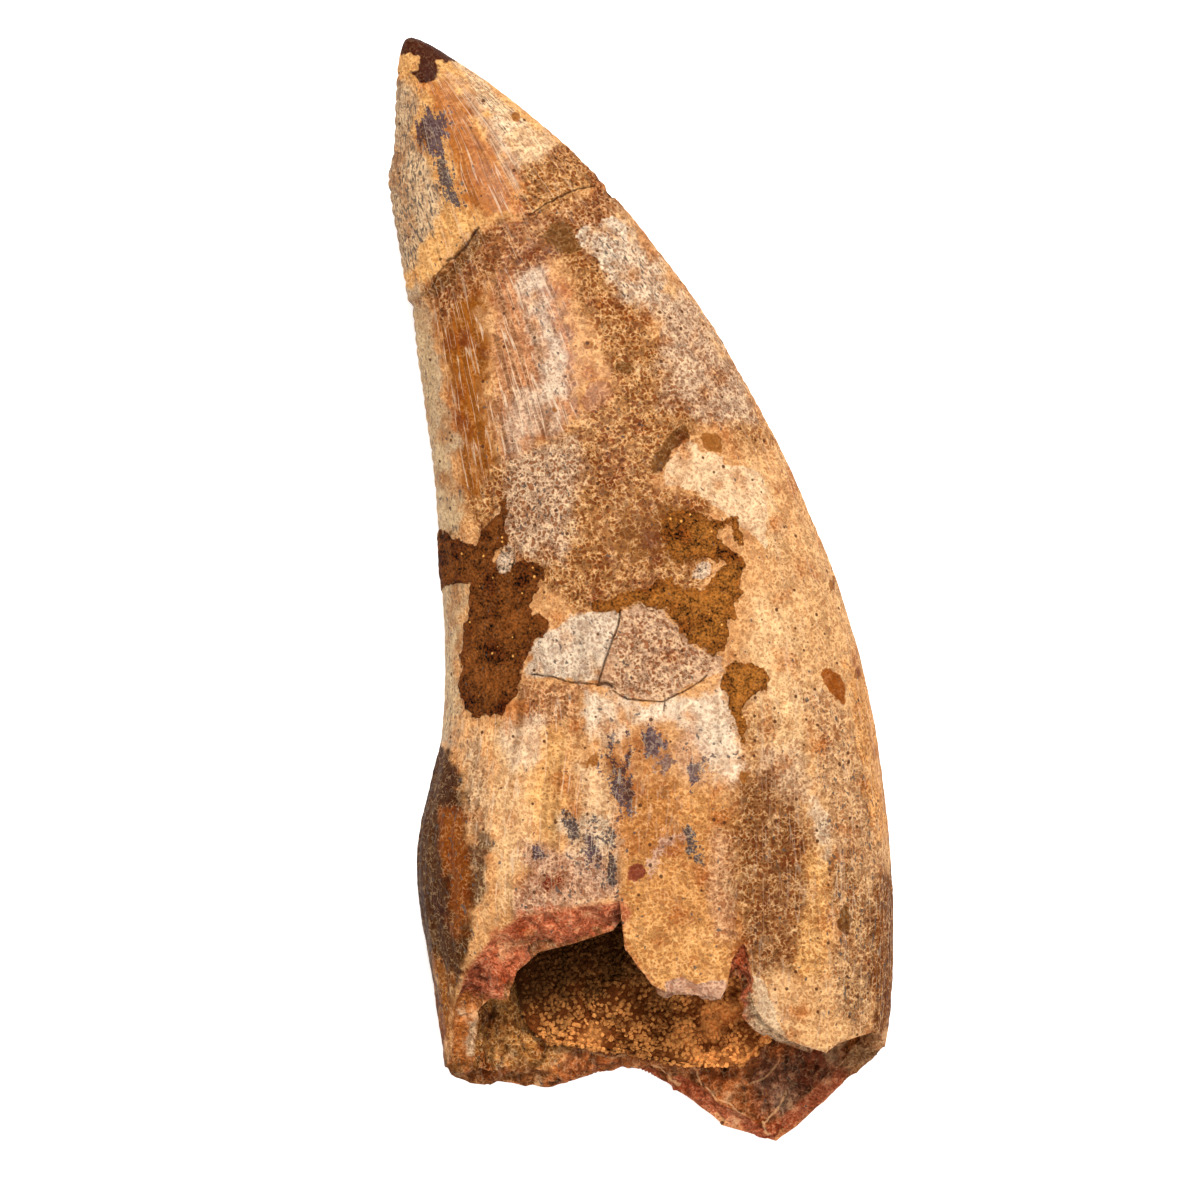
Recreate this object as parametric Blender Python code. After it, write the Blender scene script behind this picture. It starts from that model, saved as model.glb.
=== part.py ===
# A fossil tooth of a large meat-eating dinosaur, snapped off through its root.
#
# It lies on its side. +X runs from the trailing edge to the leading edge, +Y from
# the broken root to the tip, and +Z up from the surface that it rests on. The
# origin is under the middle of its outline. Every size below is in millimetres.

import bmesh
import bpy
import numpy as np

MM = 0.001

TIP_Y = 26.64
TIP_X = -11.0

# Height of the cutting edges over the resting spot: (y, z). The crown bends down
# a little towards its tip, as these teeth do.
MID_HEIGHT = [(-27.0, 4.8), (-10.0, 4.8), (0.0, 4.7), (8.0, 4.35), (16.0, 3.9), (TIP_Y, 3.1)]

# The outline seen from above: (y, x) of each edge, from the root to the tip
TRAILING_EDGE = [
    (-27.0, -9.0), (-22.3, -9.45), (-19.4, -9.83), (-16.5, -10.35), (-13.6, -10.7),
    (-11.5, -10.53), (-8.8, -9.97), (-6.9, -9.5), (-4.0, -9.38), (-1.0, -9.47),
    (3.7, -9.73), (8.5, -10.32), (12.3, -10.92), (16.1, -11.54), (18.6, -11.97),
    (19.8, -12.14), (20.7, -11.92), (23.8, -11.78), (25.2, -11.68), (26.1, -11.48),
    (26.45, -11.34), (26.57, -11.23), (TIP_Y, TIP_X),
]
LEADING_EDGE = [
    (-27.0, 10.8), (-22.3, 11.69), (-20.6, 11.96), (-16.5, 12.16), (-10.8, 11.84),
    (-6.6, 11.25), (-3.1, 10.52), (0.9, 9.29), (4.6, 7.76), (8.5, 5.86),
    (12.3, 3.76), (15.0, 1.92), (18.0, -0.4), (20.1, -2.22), (22.1, -4.34),
    (24.0, -6.67), (24.9, -7.93), (25.6, -9.0), (26.1, -9.8), (26.45, -10.47),
    (26.57, -10.75), (TIP_Y, TIP_X),
]

# Half the thickness on each face: (y, depth), from the root to the tip
UPPER_DEPTH = [
    (-27.0, 5.1), (-22.0, 5.3), (-16.0, 5.3), (-9.0, 5.15), (-2.0, 4.75),
    (5.0, 4.1), (12.0, 3.2), (18.0, 2.2), (22.0, 1.45), (25.0, 0.75),
    (26.2, 0.35), (26.5, 0.2), (TIP_Y, 0.0),
]
LOWER_DEPTH = [
    (-27.0, 4.2), (-22.0, 4.55), (-16.0, 4.9), (-9.0, 5.05), (-2.0, 5.05),
    (4.0, 4.85), (8.0, 4.4), (12.0, 3.6), (18.0, 2.3), (22.0, 1.5),
    (25.0, 0.75), (26.2, 0.35), (26.5, 0.2), (TIP_Y, 0.0),
]

# How full a cross-section is: 0.5 is an ellipse, 1 is two blades meeting
FULLNESS = [(-27.0, 0.48), (-12.0, 0.5), (-5.0, 0.6), (10.0, 0.7), (TIP_Y, 0.8)]

# Lip of the break, (x, y), on the face that looks up and on the one that rests
UPPER_LIP = [
    (-9.35, -22.9), (-9.1, -22.5), (-8.95, -21.5), (-8.85, -19.9), (-8.3, -18.3),
    (-7.5, -17.1), (-6.9, -16.4), (-5.6, -15.5), (-3.6, -15.15), (-1.0, -14.85),
    (-0.75, -17.1), (-0.35, -17.55), (0.5, -18.7), (1.2, -19.1), (3.8, -19.35),
    (4.15, -18.9), (4.4, -17.6), (4.9, -16.8), (5.15, -17.9), (5.4, -19.9),
    (5.9, -20.7), (7.0, -21.45), (8.9, -22.1), (9.4, -21.6), (11.4, -21.05),
    (11.75, -21.9),
]
LOWER_LIP = [
    (-9.35, -22.9), (-9.1, -23.35), (-8.2, -23.77), (-7.5, -23.88), (-6.9, -23.72),
    (-6.2, -23.82), (-5.5, -24.0), (-4.2, -24.0), (-3.5, -23.72), (-2.4, -23.5),
    (-0.8, -23.09), (0.0, -23.3), (1.2, -23.87), (2.6, -24.74), (3.7, -25.6),
    (3.95, -25.9), (5.05, -26.2), (6.6, -26.64), (7.6, -25.9), (9.1, -24.46),
    (10.0, -23.57), (10.5, -23.3), (11.3, -22.43), (11.75, -21.9),
]
# How far the inner lip stands out beyond the outer one: (x, distance). Where it
# stands back instead, the distance is negative.
UPPER_BEVEL = [
    (-8.9, 0.2), (-8.3, 1.2), (-7.5, 2.5), (-6.9, 1.8), (-4.0, 1.7), (-1.2, 1.2),
    (-0.8, 0.2), (4.1, 0.0), (4.5, 1.3), (5.0, 1.6), (5.3, 0.4), (6.0, 0.0),
]
LOWER_BEVEL = [
    (-9.0, -0.5), (-6.0, -0.9), (-3.0, -0.45), (1.0, -0.8), (4.0, -1.1), (7.0, -0.7),
    (9.0, -0.25), (11.5, -0.5),
]

# The wall round the pulp cavity, and where the cavity starts to close and ends
WALL = [(-27.0, 0.75), (-22.0, 0.95), (-16.0, 1.3), (-2.0, 1.5), (TIP_Y, 1.5)]
WALL_AT_EDGES = 1.1
CAVITY_SHOULDER_Y = -8.6
CAVITY_END_Y = -2.0

# The mesh: columns on each face, and rings along the length
COLUMNS_PER_FACE = 42
CROWN_RINGS = [
    26.6, 26.52, 26.38, 26.15, 25.8, 25.2, 24.4, 23.4, 22.3, 21.2, 20.5, 19.9, 18.9,
    17.6, 16.2, 14.7, 13.2, 11.6, 10.0, 8.3, 6.6, 4.9, 3.2, 1.5, -0.2, -1.9, -3.6, -5.3,
]
ROOT_START_Y = -6.9
ROOT_RINGS = 12
CAVITY_RINGS = 9
DOME_RINGS = 5

# Cemented sand on the cavity's lower wall: (y, lowest x, highest x) from the
# mouth inwards, its thickness, and its clearance from the wall
SAND_ROWS = [
    (-22.9, 1.8, 5.0), (-22.4, -0.5, 5.6), (-21.8, -4.6, 6.2), (-21.0, -5.4, 7.0),
    (-20.0, -5.8, 7.8), (-18.6, -6.0, 8.4), (-17.0, -6.2, 8.6), (-15.0, -6.0, 8.4),
    (-13.0, -5.8, 8.0), (-11.5, -5.2, 7.2), (-10.2, -4.4, 6.4),
]
SAND_COLUMNS = 16
SAND_THICKNESS = 1.45
SAND_EDGE_THICKNESS = 0.35
SAND_CLEARANCE = 0.3


def smooth(knots, at):
    """Value at a place on the smooth curve through knots, given as (place, value)."""
    places, values = np.array(knots).T
    slopes = np.gradient(values, places)
    before = np.clip(np.searchsorted(places, at) - 1, 0, len(places) - 2)
    gap = places[before + 1] - places[before]
    t = np.clip((at - places[before]) / gap, 0.0, 1.0)
    return (
        values[before] * (1 + 2 * t) * (1 - t) ** 2
        + values[before + 1] * t * t * (3 - 2 * t)
        + slopes[before] * gap * t * (1 - t) ** 2
        - slopes[before + 1] * gap * t * t * (1 - t)
    )


def straight(knots, at):
    """Value at a place on the straight lines through knots."""
    places, values = np.array(knots).T
    return np.interp(at, places, values)


def middle_and_half(y):
    trailing = smooth(TRAILING_EDGE, y)
    leading = smooth(LEADING_EDGE, y)
    return (leading + trailing) / 2, (leading - trailing) / 2


def across(x, y):
    """Share of the half width, from -1 at the trailing edge to +1 at the leading edge."""
    middle, half = middle_and_half(y)
    return (x - middle) / half


def skin_point(y, share, face):
    """Point of the outer skin. face is +1 for the upper face and -1 for the lower."""
    middle, half = middle_and_half(y)
    depth = smooth(UPPER_DEPTH if face > 0 else LOWER_DEPTH, y)
    bulge = depth * max(0.0, 1 - share * share) ** smooth(FULLNESS, y)
    return middle + half * share, y, max(0.0, smooth(MID_HEIGHT, y) + face * bulge)


def cavity_point(y, share, face):
    """Point of the cavity's wall, which follows the skin and closes over towards the tip."""
    middle, half = middle_and_half(y)
    depth = smooth(UPPER_DEPTH if face > 0 else LOWER_DEPTH, y)
    wall = straight(WALL, y)
    closing = np.clip((y - CAVITY_SHOULDER_Y) / (CAVITY_END_Y - CAVITY_SHOULDER_Y), 0.0, 1.0)
    size = np.sqrt(1 - closing * closing)
    mid_height = smooth(MID_HEIGHT, y)
    deep = min(depth, mid_height) if face < 0 else depth
    bulge = (deep - wall) * np.sqrt(max(0.0, 1 - share * share)) * size
    return middle + (half - WALL_AT_EDGES) * size * share, y, mid_height + face * bulge


def lip_by_share(lip):
    """The lip's points as (share of the half width, y), in order."""
    return sorted((float(across(x, y)), y) for x, y in lip)


def column_shares(lip):
    """Shares for the columns on one face: one on each point of the lip, and more between."""
    even = np.linspace(0.0, 1.0, 2001)
    shares = -(0.4 * np.cos(np.pi * even) + 0.6 * (1 - 2 * even))
    corners = np.interp([share for share, _ in lip_by_share(lip)], shares, even)
    steps = np.concatenate(([0.0], corners, [1.0]))
    while len(steps) <= COLUMNS_PER_FACE:
        widest = int(np.argmax(np.diff(steps)))
        steps = np.insert(steps, widest + 1, (steps[widest] + steps[widest + 1]) / 2)
    return np.interp(steps, even, shares)


def columns():
    """Every column round the tooth, as (share, face, y of the outer lip, reach of the inner lip)."""
    found = []
    for face, lip, bevel in ((1, UPPER_LIP, UPPER_BEVEL), (-1, LOWER_LIP, LOWER_BEVEL)):
        shares = column_shares(lip)
        shares = shares[:0:-1] if face > 0 else shares[:-1]
        for share in shares:
            share = float(share)
            lip_y = float(straight(lip_by_share(lip), share))
            middle, half = middle_and_half(lip_y)
            reach = float(straight(bevel, middle + half * share))
            found.append((share, face, lip_y, reach))
    return found


def blend(start, end, share):
    return start + (end - start) * share


def tooth_rings():
    """Rings of points from the tip, down the skin, round the lip and up the cavity."""
    around = columns()
    rings = []
    for y in CROWN_RINGS:
        rings.append([skin_point(y, share, face) for share, face, _, _ in around])
    for step in range(ROOT_RINGS + 1):
        down = step / ROOT_RINGS
        rings.append([
            skin_point(blend(ROOT_START_Y, lip_y, down), share, face)
            for share, face, lip_y, _ in around
        ])
    for step in range(CAVITY_RINGS + 1):
        up = step / CAVITY_RINGS
        rings.append([
            cavity_point(blend(lip_y - reach, CAVITY_SHOULDER_Y, up), share, face)
            for share, face, lip_y, reach in around
        ])
    for step in range(1, DOME_RINGS):
        closing = np.sin(np.pi / 2 * step / DOME_RINGS)
        y = blend(CAVITY_SHOULDER_Y, CAVITY_END_Y, closing)
        rings.append([cavity_point(y, share, face) for share, face, _, _ in around])
    return rings


def loft(name, rings, first_pole, last_pole):
    """One closed mesh through rings of equal length, shut by a point at each end."""
    mesh = bmesh.new()
    rows = [[mesh.verts.new(np.array(point) * MM) for point in ring] for ring in rings]
    for upper, lower in zip(rows, rows[1:]):
        for k in range(len(upper)):
            mesh.faces.new((upper[k - 1], upper[k], lower[k], lower[k - 1]))
    for pole, row in ((first_pole, rows[0]), (last_pole, rows[-1])):
        centre = mesh.verts.new(np.array(pole) * MM)
        for k in range(len(row)):
            mesh.faces.new((centre, row[k - 1], row[k]))
    bmesh.ops.recalc_face_normals(mesh, faces=mesh.faces)
    data = bpy.data.meshes.new(name)
    mesh.to_mesh(data)
    mesh.free()
    data.shade_smooth()
    data.set_sharp_from_angle(angle=np.radians(40))
    return bpy.data.objects.new(name, data)


def make_tooth():
    middle, _ = middle_and_half(CAVITY_END_Y)
    tip = (TIP_X, TIP_Y, smooth(MID_HEIGHT, TIP_Y))
    cavity_end = (middle, CAVITY_END_Y, smooth(MID_HEIGHT, CAVITY_END_Y))
    return loft("tooth", tooth_rings(), tip, cavity_end)


def sand_section(y, low_x, high_x):
    """One closed row of the sand crust: along its top, then back along its underside."""
    top = []
    under = []
    for x in np.linspace(low_x, high_x, SAND_COLUMNS + 1):
        middle, half = middle_and_half(y)
        floor = cavity_point(y, (x - middle) / (half - WALL_AT_EDGES), -1)[2]
        from_centre = abs(2 * x - low_x - high_x) / (high_x - low_x)
        thickness = blend(SAND_THICKNESS, SAND_EDGE_THICKNESS, from_centre ** 4)
        under.append((x, y, floor + SAND_CLEARANCE))
        top.append((x, y, floor + SAND_CLEARANCE + thickness))
    return top + under[::-1]


def end_pole(section):
    points = np.array(section)
    return points.mean(axis=0)


def make_cavity_sand():
    rings = [sand_section(y, low_x, high_x) for y, low_x, high_x in SAND_ROWS]
    return loft("cavity_sand", rings, end_pole(rings[0]), end_pole(rings[-1]))


def plain_material(name, colour, roughness):
    made = bpy.data.materials.new(name)
    made.use_nodes = True
    shader = made.node_tree.nodes["Principled BSDF"]
    shader.inputs["Base Color"].default_value = (*colour, 1.0)
    shader.inputs["Roughness"].default_value = roughness
    shader.inputs["Metallic"].default_value = 0.0
    return made


def main():
    for old in list(bpy.data.objects):
        bpy.data.objects.remove(old, do_unlink=True)
    collection = bpy.data.collections.new("Fossil tooth")
    bpy.context.scene.collection.children.link(collection)
    pieces = (
        (make_tooth(), plain_material("Fossil enamel and dentine", (0.56, 0.34, 0.16), 0.5)),
        (make_cavity_sand(), plain_material("Cemented sand", (0.22, 0.11, 0.035), 0.95)),
    )
    for piece, finish in pieces:
        piece.data.materials.append(finish)
        collection.objects.link(piece)


main()
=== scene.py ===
import math

import bmesh
import bpy
import numpy as np
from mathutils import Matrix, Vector, noise
from mathutils.bvhtree import BVHTree


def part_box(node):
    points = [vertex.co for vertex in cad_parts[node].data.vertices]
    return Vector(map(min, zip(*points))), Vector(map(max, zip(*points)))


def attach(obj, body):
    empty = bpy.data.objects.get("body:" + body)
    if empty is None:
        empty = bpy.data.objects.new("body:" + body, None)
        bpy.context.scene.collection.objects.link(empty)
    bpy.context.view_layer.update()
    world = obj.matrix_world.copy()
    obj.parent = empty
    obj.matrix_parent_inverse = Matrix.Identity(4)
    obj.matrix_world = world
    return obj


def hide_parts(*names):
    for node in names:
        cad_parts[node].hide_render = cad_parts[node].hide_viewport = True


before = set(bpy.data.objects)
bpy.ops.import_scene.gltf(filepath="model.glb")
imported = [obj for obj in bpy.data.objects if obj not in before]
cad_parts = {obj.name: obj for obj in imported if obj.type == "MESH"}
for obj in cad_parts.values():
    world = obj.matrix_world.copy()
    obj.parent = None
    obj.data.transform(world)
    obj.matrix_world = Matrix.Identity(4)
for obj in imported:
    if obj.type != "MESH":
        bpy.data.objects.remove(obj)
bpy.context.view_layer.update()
mm = 0.001

# Colours as they look in daylight, 0 to 255
tints = {
    "tan": (220, 158, 98), "flank": (222, 166, 108), "flankPale": (242, 194, 138), "strip": (198, 164, 126),
    "lowStrip": (206, 170, 124), "cream": (236, 208, 174), "pinkCream": (220, 188, 158),
    "pinkTan": (184, 122, 78), "tipCream": (184, 138, 104), "chipCream": (224, 196, 166),
    "chipPale": (236, 194, 148), "orange": (180, 106, 40), "ochre": (158, 88, 20),
    "granular": (184, 124, 68), "greyGranular": (206, 167, 133), "rust": (108, 58, 20),
    "amber": (146, 88, 32), "roughChip": (206, 160, 122), "lowerCream": (244, 214, 180),
    "purple": (100, 76, 76), "slate": (96, 78, 72), "flap": (214, 146, 78), "brownBand": (150, 92, 44),
    "greyFlank": (202, 150, 102), "greyFibre": (190, 138, 88), "gold": (230, 168, 98), "bark": (84, 46, 14),
    "barkOrange": (146, 74, 14), "darkEdge": (128, 66, 10), "tipBrown": (70, 26, 6),
    "spotBrown": (152, 90, 34), "darkPatch": (116, 70, 28), "mauve": (198, 148, 118),
    "redDentine": (196, 104, 66), "deepRed": (142, 68, 42), "whitish": (212, 176, 136),
    # cavityDark is also painted shade in the cavity, on the sand and in the broken dentine's recesses; it
    # colours the cracks as well
    "cavityTan": (178, 118, 58), "cavityRed": (164, 92, 46), "cavityDark": (48, 20, 4),
    "rimGrey": (122, 72, 26), "greyPurple": (134, 98, 84), "sandDark": (112, 56, 20),
    # curlPale is the pale of the curls, also used for their painted glints
    "sandPale": (238, 158, 84), "curlPale": (252, 214, 160), "goldDot": (226, 160, 80),
    "fleckDark": (84, 72, 64), "vein": (226, 168, 116), "curlDark": (170, 122, 80),
    "warmShade": (224, 168, 100), "belowBreak": (160, 98, 52), "crustBrown": (172, 112, 58),
    "pitDark": (76, 40, 18), "crustShade": (176, 130, 86), "crustHole": (206, 176, 146),
}


def linear(tint):
    value = np.array(tints[tint]) / 255.0
    return np.where(value <= 0.04045, value / 12.92, ((value + 0.055) / 1.055) ** 2.4)


def ease(low, high, value):
    t = np.clip((value - low) / (high - low), 0.0, 1.0)
    return t * t * (3 - 2 * t)


def fractal(points, scale, octaves=3, shift=0.0):
    offset = Vector((shift, 0.7 * shift, 1.3 * shift))
    return np.array([
        noise.fractal(Vector(p) * scale + offset, 1.0, 2.0, octaves) for p in points.tolist()
    ])


def toLine(x, y, line):
    # distance to an open line, and how far along it the nearest point lies, from 0 to 1
    best = np.full(len(x), 1e9)
    along = np.zeros(len(x))
    steps = len(line) - 1
    for k, ((ax, ay), (bx, by)) in enumerate(zip(line, line[1:])):
        ex, ey = bx - ax, by - ay
        t = np.clip(((x - ax) * ex + (y - ay) * ey) / (ex * ex + ey * ey), 0.0, 1.0)
        away = np.hypot(x - ax - t * ex, y - ay - t * ey)
        along = np.where(away < best, (k + t) / steps, along)
        best = np.minimum(best, away)
    return best, along


def insideBy(x, y, outline):
    # distance to a closed outline, positive inside it and negative outside
    away, _ = toLine(x, y, outline + outline[:1])
    inside = np.zeros(len(x), bool)
    for (ax, ay), (bx, by) in zip(outline, outline[1:] + outline[:1]):
        if ay != by:
            inside ^= ((ay > y) != (by > y)) & (x < (bx - ax) * (y - ay) / (by - ay) + ax)
    return np.where(inside, away, -away)


def oval(x, y, width, height):
    turns = np.linspace(0, 2 * math.pi, 12, endpoint=False)
    return [(x + width / 2 * math.cos(t), y + height / 2 * math.sin(t)) for t in turns]


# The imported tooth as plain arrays: its points, faces and edges, and which part of it each face is
toothShape = {
    "ringsToInnerLip": 14,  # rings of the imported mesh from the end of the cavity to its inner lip
    "upperEdge": 0.30,      # longest side of a triangle, by place
    "underEdge": 0.9,
    "rimEdge": 0.18,
    "wallEdge": 0.27,
    "hiddenEdge": 1.6,
    "markEdge": 0.16,
    "crackEdge": 0.07,
    "notchEdge": 0.16,
    "veinEdge": 0.14,
    "upperFrom": -0.35,     # height over the cutting edges where the underside starts
    "visibleWallTop": -13.0,
    "rounds": 6,
}
skin, rim, wall = 0, 1, 2


def packedTooth():
    work = bmesh.new()
    work.from_mesh(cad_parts["tooth"].data)
    bmesh.ops.remove_doubles(work, verts=work.verts, dist=2e-6)
    work.verts.ensure_lookup_table()
    points = np.array([v.co for v in work.verts]) / mm
    faces = np.array([[v.index for v in f.verts] for f in work.faces])
    edges = np.array([[v.index for v in e.verts] for e in work.edges])
    work.free()
    fans = np.bincount(edges.ravel(), minlength=len(points)) * (points[:, 1] < 10)
    ring = np.full(len(points), -1)
    ring[np.argmax(fans)] = 0
    lastRing = toothShape["ringsToInnerLip"] + 2
    for step in range(lastRing):
        for near, far in ((0, 1), (1, 0)):
            reached = (ring[edges[:, near]] == step) & (ring[edges[:, far]] == -1)
            ring[edges[reached, far]] = step + 1
    ring[ring == -1] = lastRing
    highest = ring[faces].max(axis=1)
    part = np.where(highest <= lastRing - 2, wall, np.where(highest == lastRing - 1, rim, skin))
    rimShare = np.clip(lastRing - 1.0 - ring, 0.0, 1.0)
    return points, faces, edges, part, rimShare


packedPoints, packedFaces, packedEdges, packedPart, packedRimShare = packedTooth()


def readOutline():
    # the cutting edges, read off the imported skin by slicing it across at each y
    onSkin = np.zeros(len(packedPoints), bool)
    onSkin[packedFaces[packedPart == skin].ravel()] = True
    edges = packedEdges[onSkin[packedEdges].all(axis=1)]
    start, end = packedPoints[edges[:, 0]], packedPoints[edges[:, 1]]
    rows = []
    for y in np.linspace(-21.4, 26.5, 120):
        cut = (start[:, 1] - y) * (end[:, 1] - y) < 0
        t = (y - start[cut, 1]) / (end[cut, 1] - start[cut, 1])
        at = start[cut] + (end[cut] - start[cut]) * t[:, None]
        first, last = at[np.argmin(at[:, 0])], at[np.argmax(at[:, 0])]
        rows.append((y, first[0], last[0], first[2], last[2]))
    return np.array(rows).T


outlineY, trailingX, leadingX, trailingZ, leadingZ = readOutline()


def sectionAt(points):
    # share of the half width (-1 at the trailing edge, +1 at the leading one) and height over the edges
    y = points[:, 1]
    low, high = np.interp(y, outlineY, trailingX), np.interp(y, outlineY, leadingX)
    share = np.clip((2 * points[:, 0] - low - high) / (high - low), -1.0, 1.0)
    edgeZ = np.interp(y, outlineY, trailingZ)
    return share, points[:, 2] - edgeZ


# Everything that is painted or raised on the tooth. A zone is soft edged and carries how gritty,
# streaked, speckled and glossy the surface is there. Zones are listed by surface, in painting order.
def zone(tint, outline, soft=0.5, strength=1.0, **finish):
    return {"tint": tint, "outline": outline, "soft": soft, "strength": strength, "finish": finish}


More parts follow.
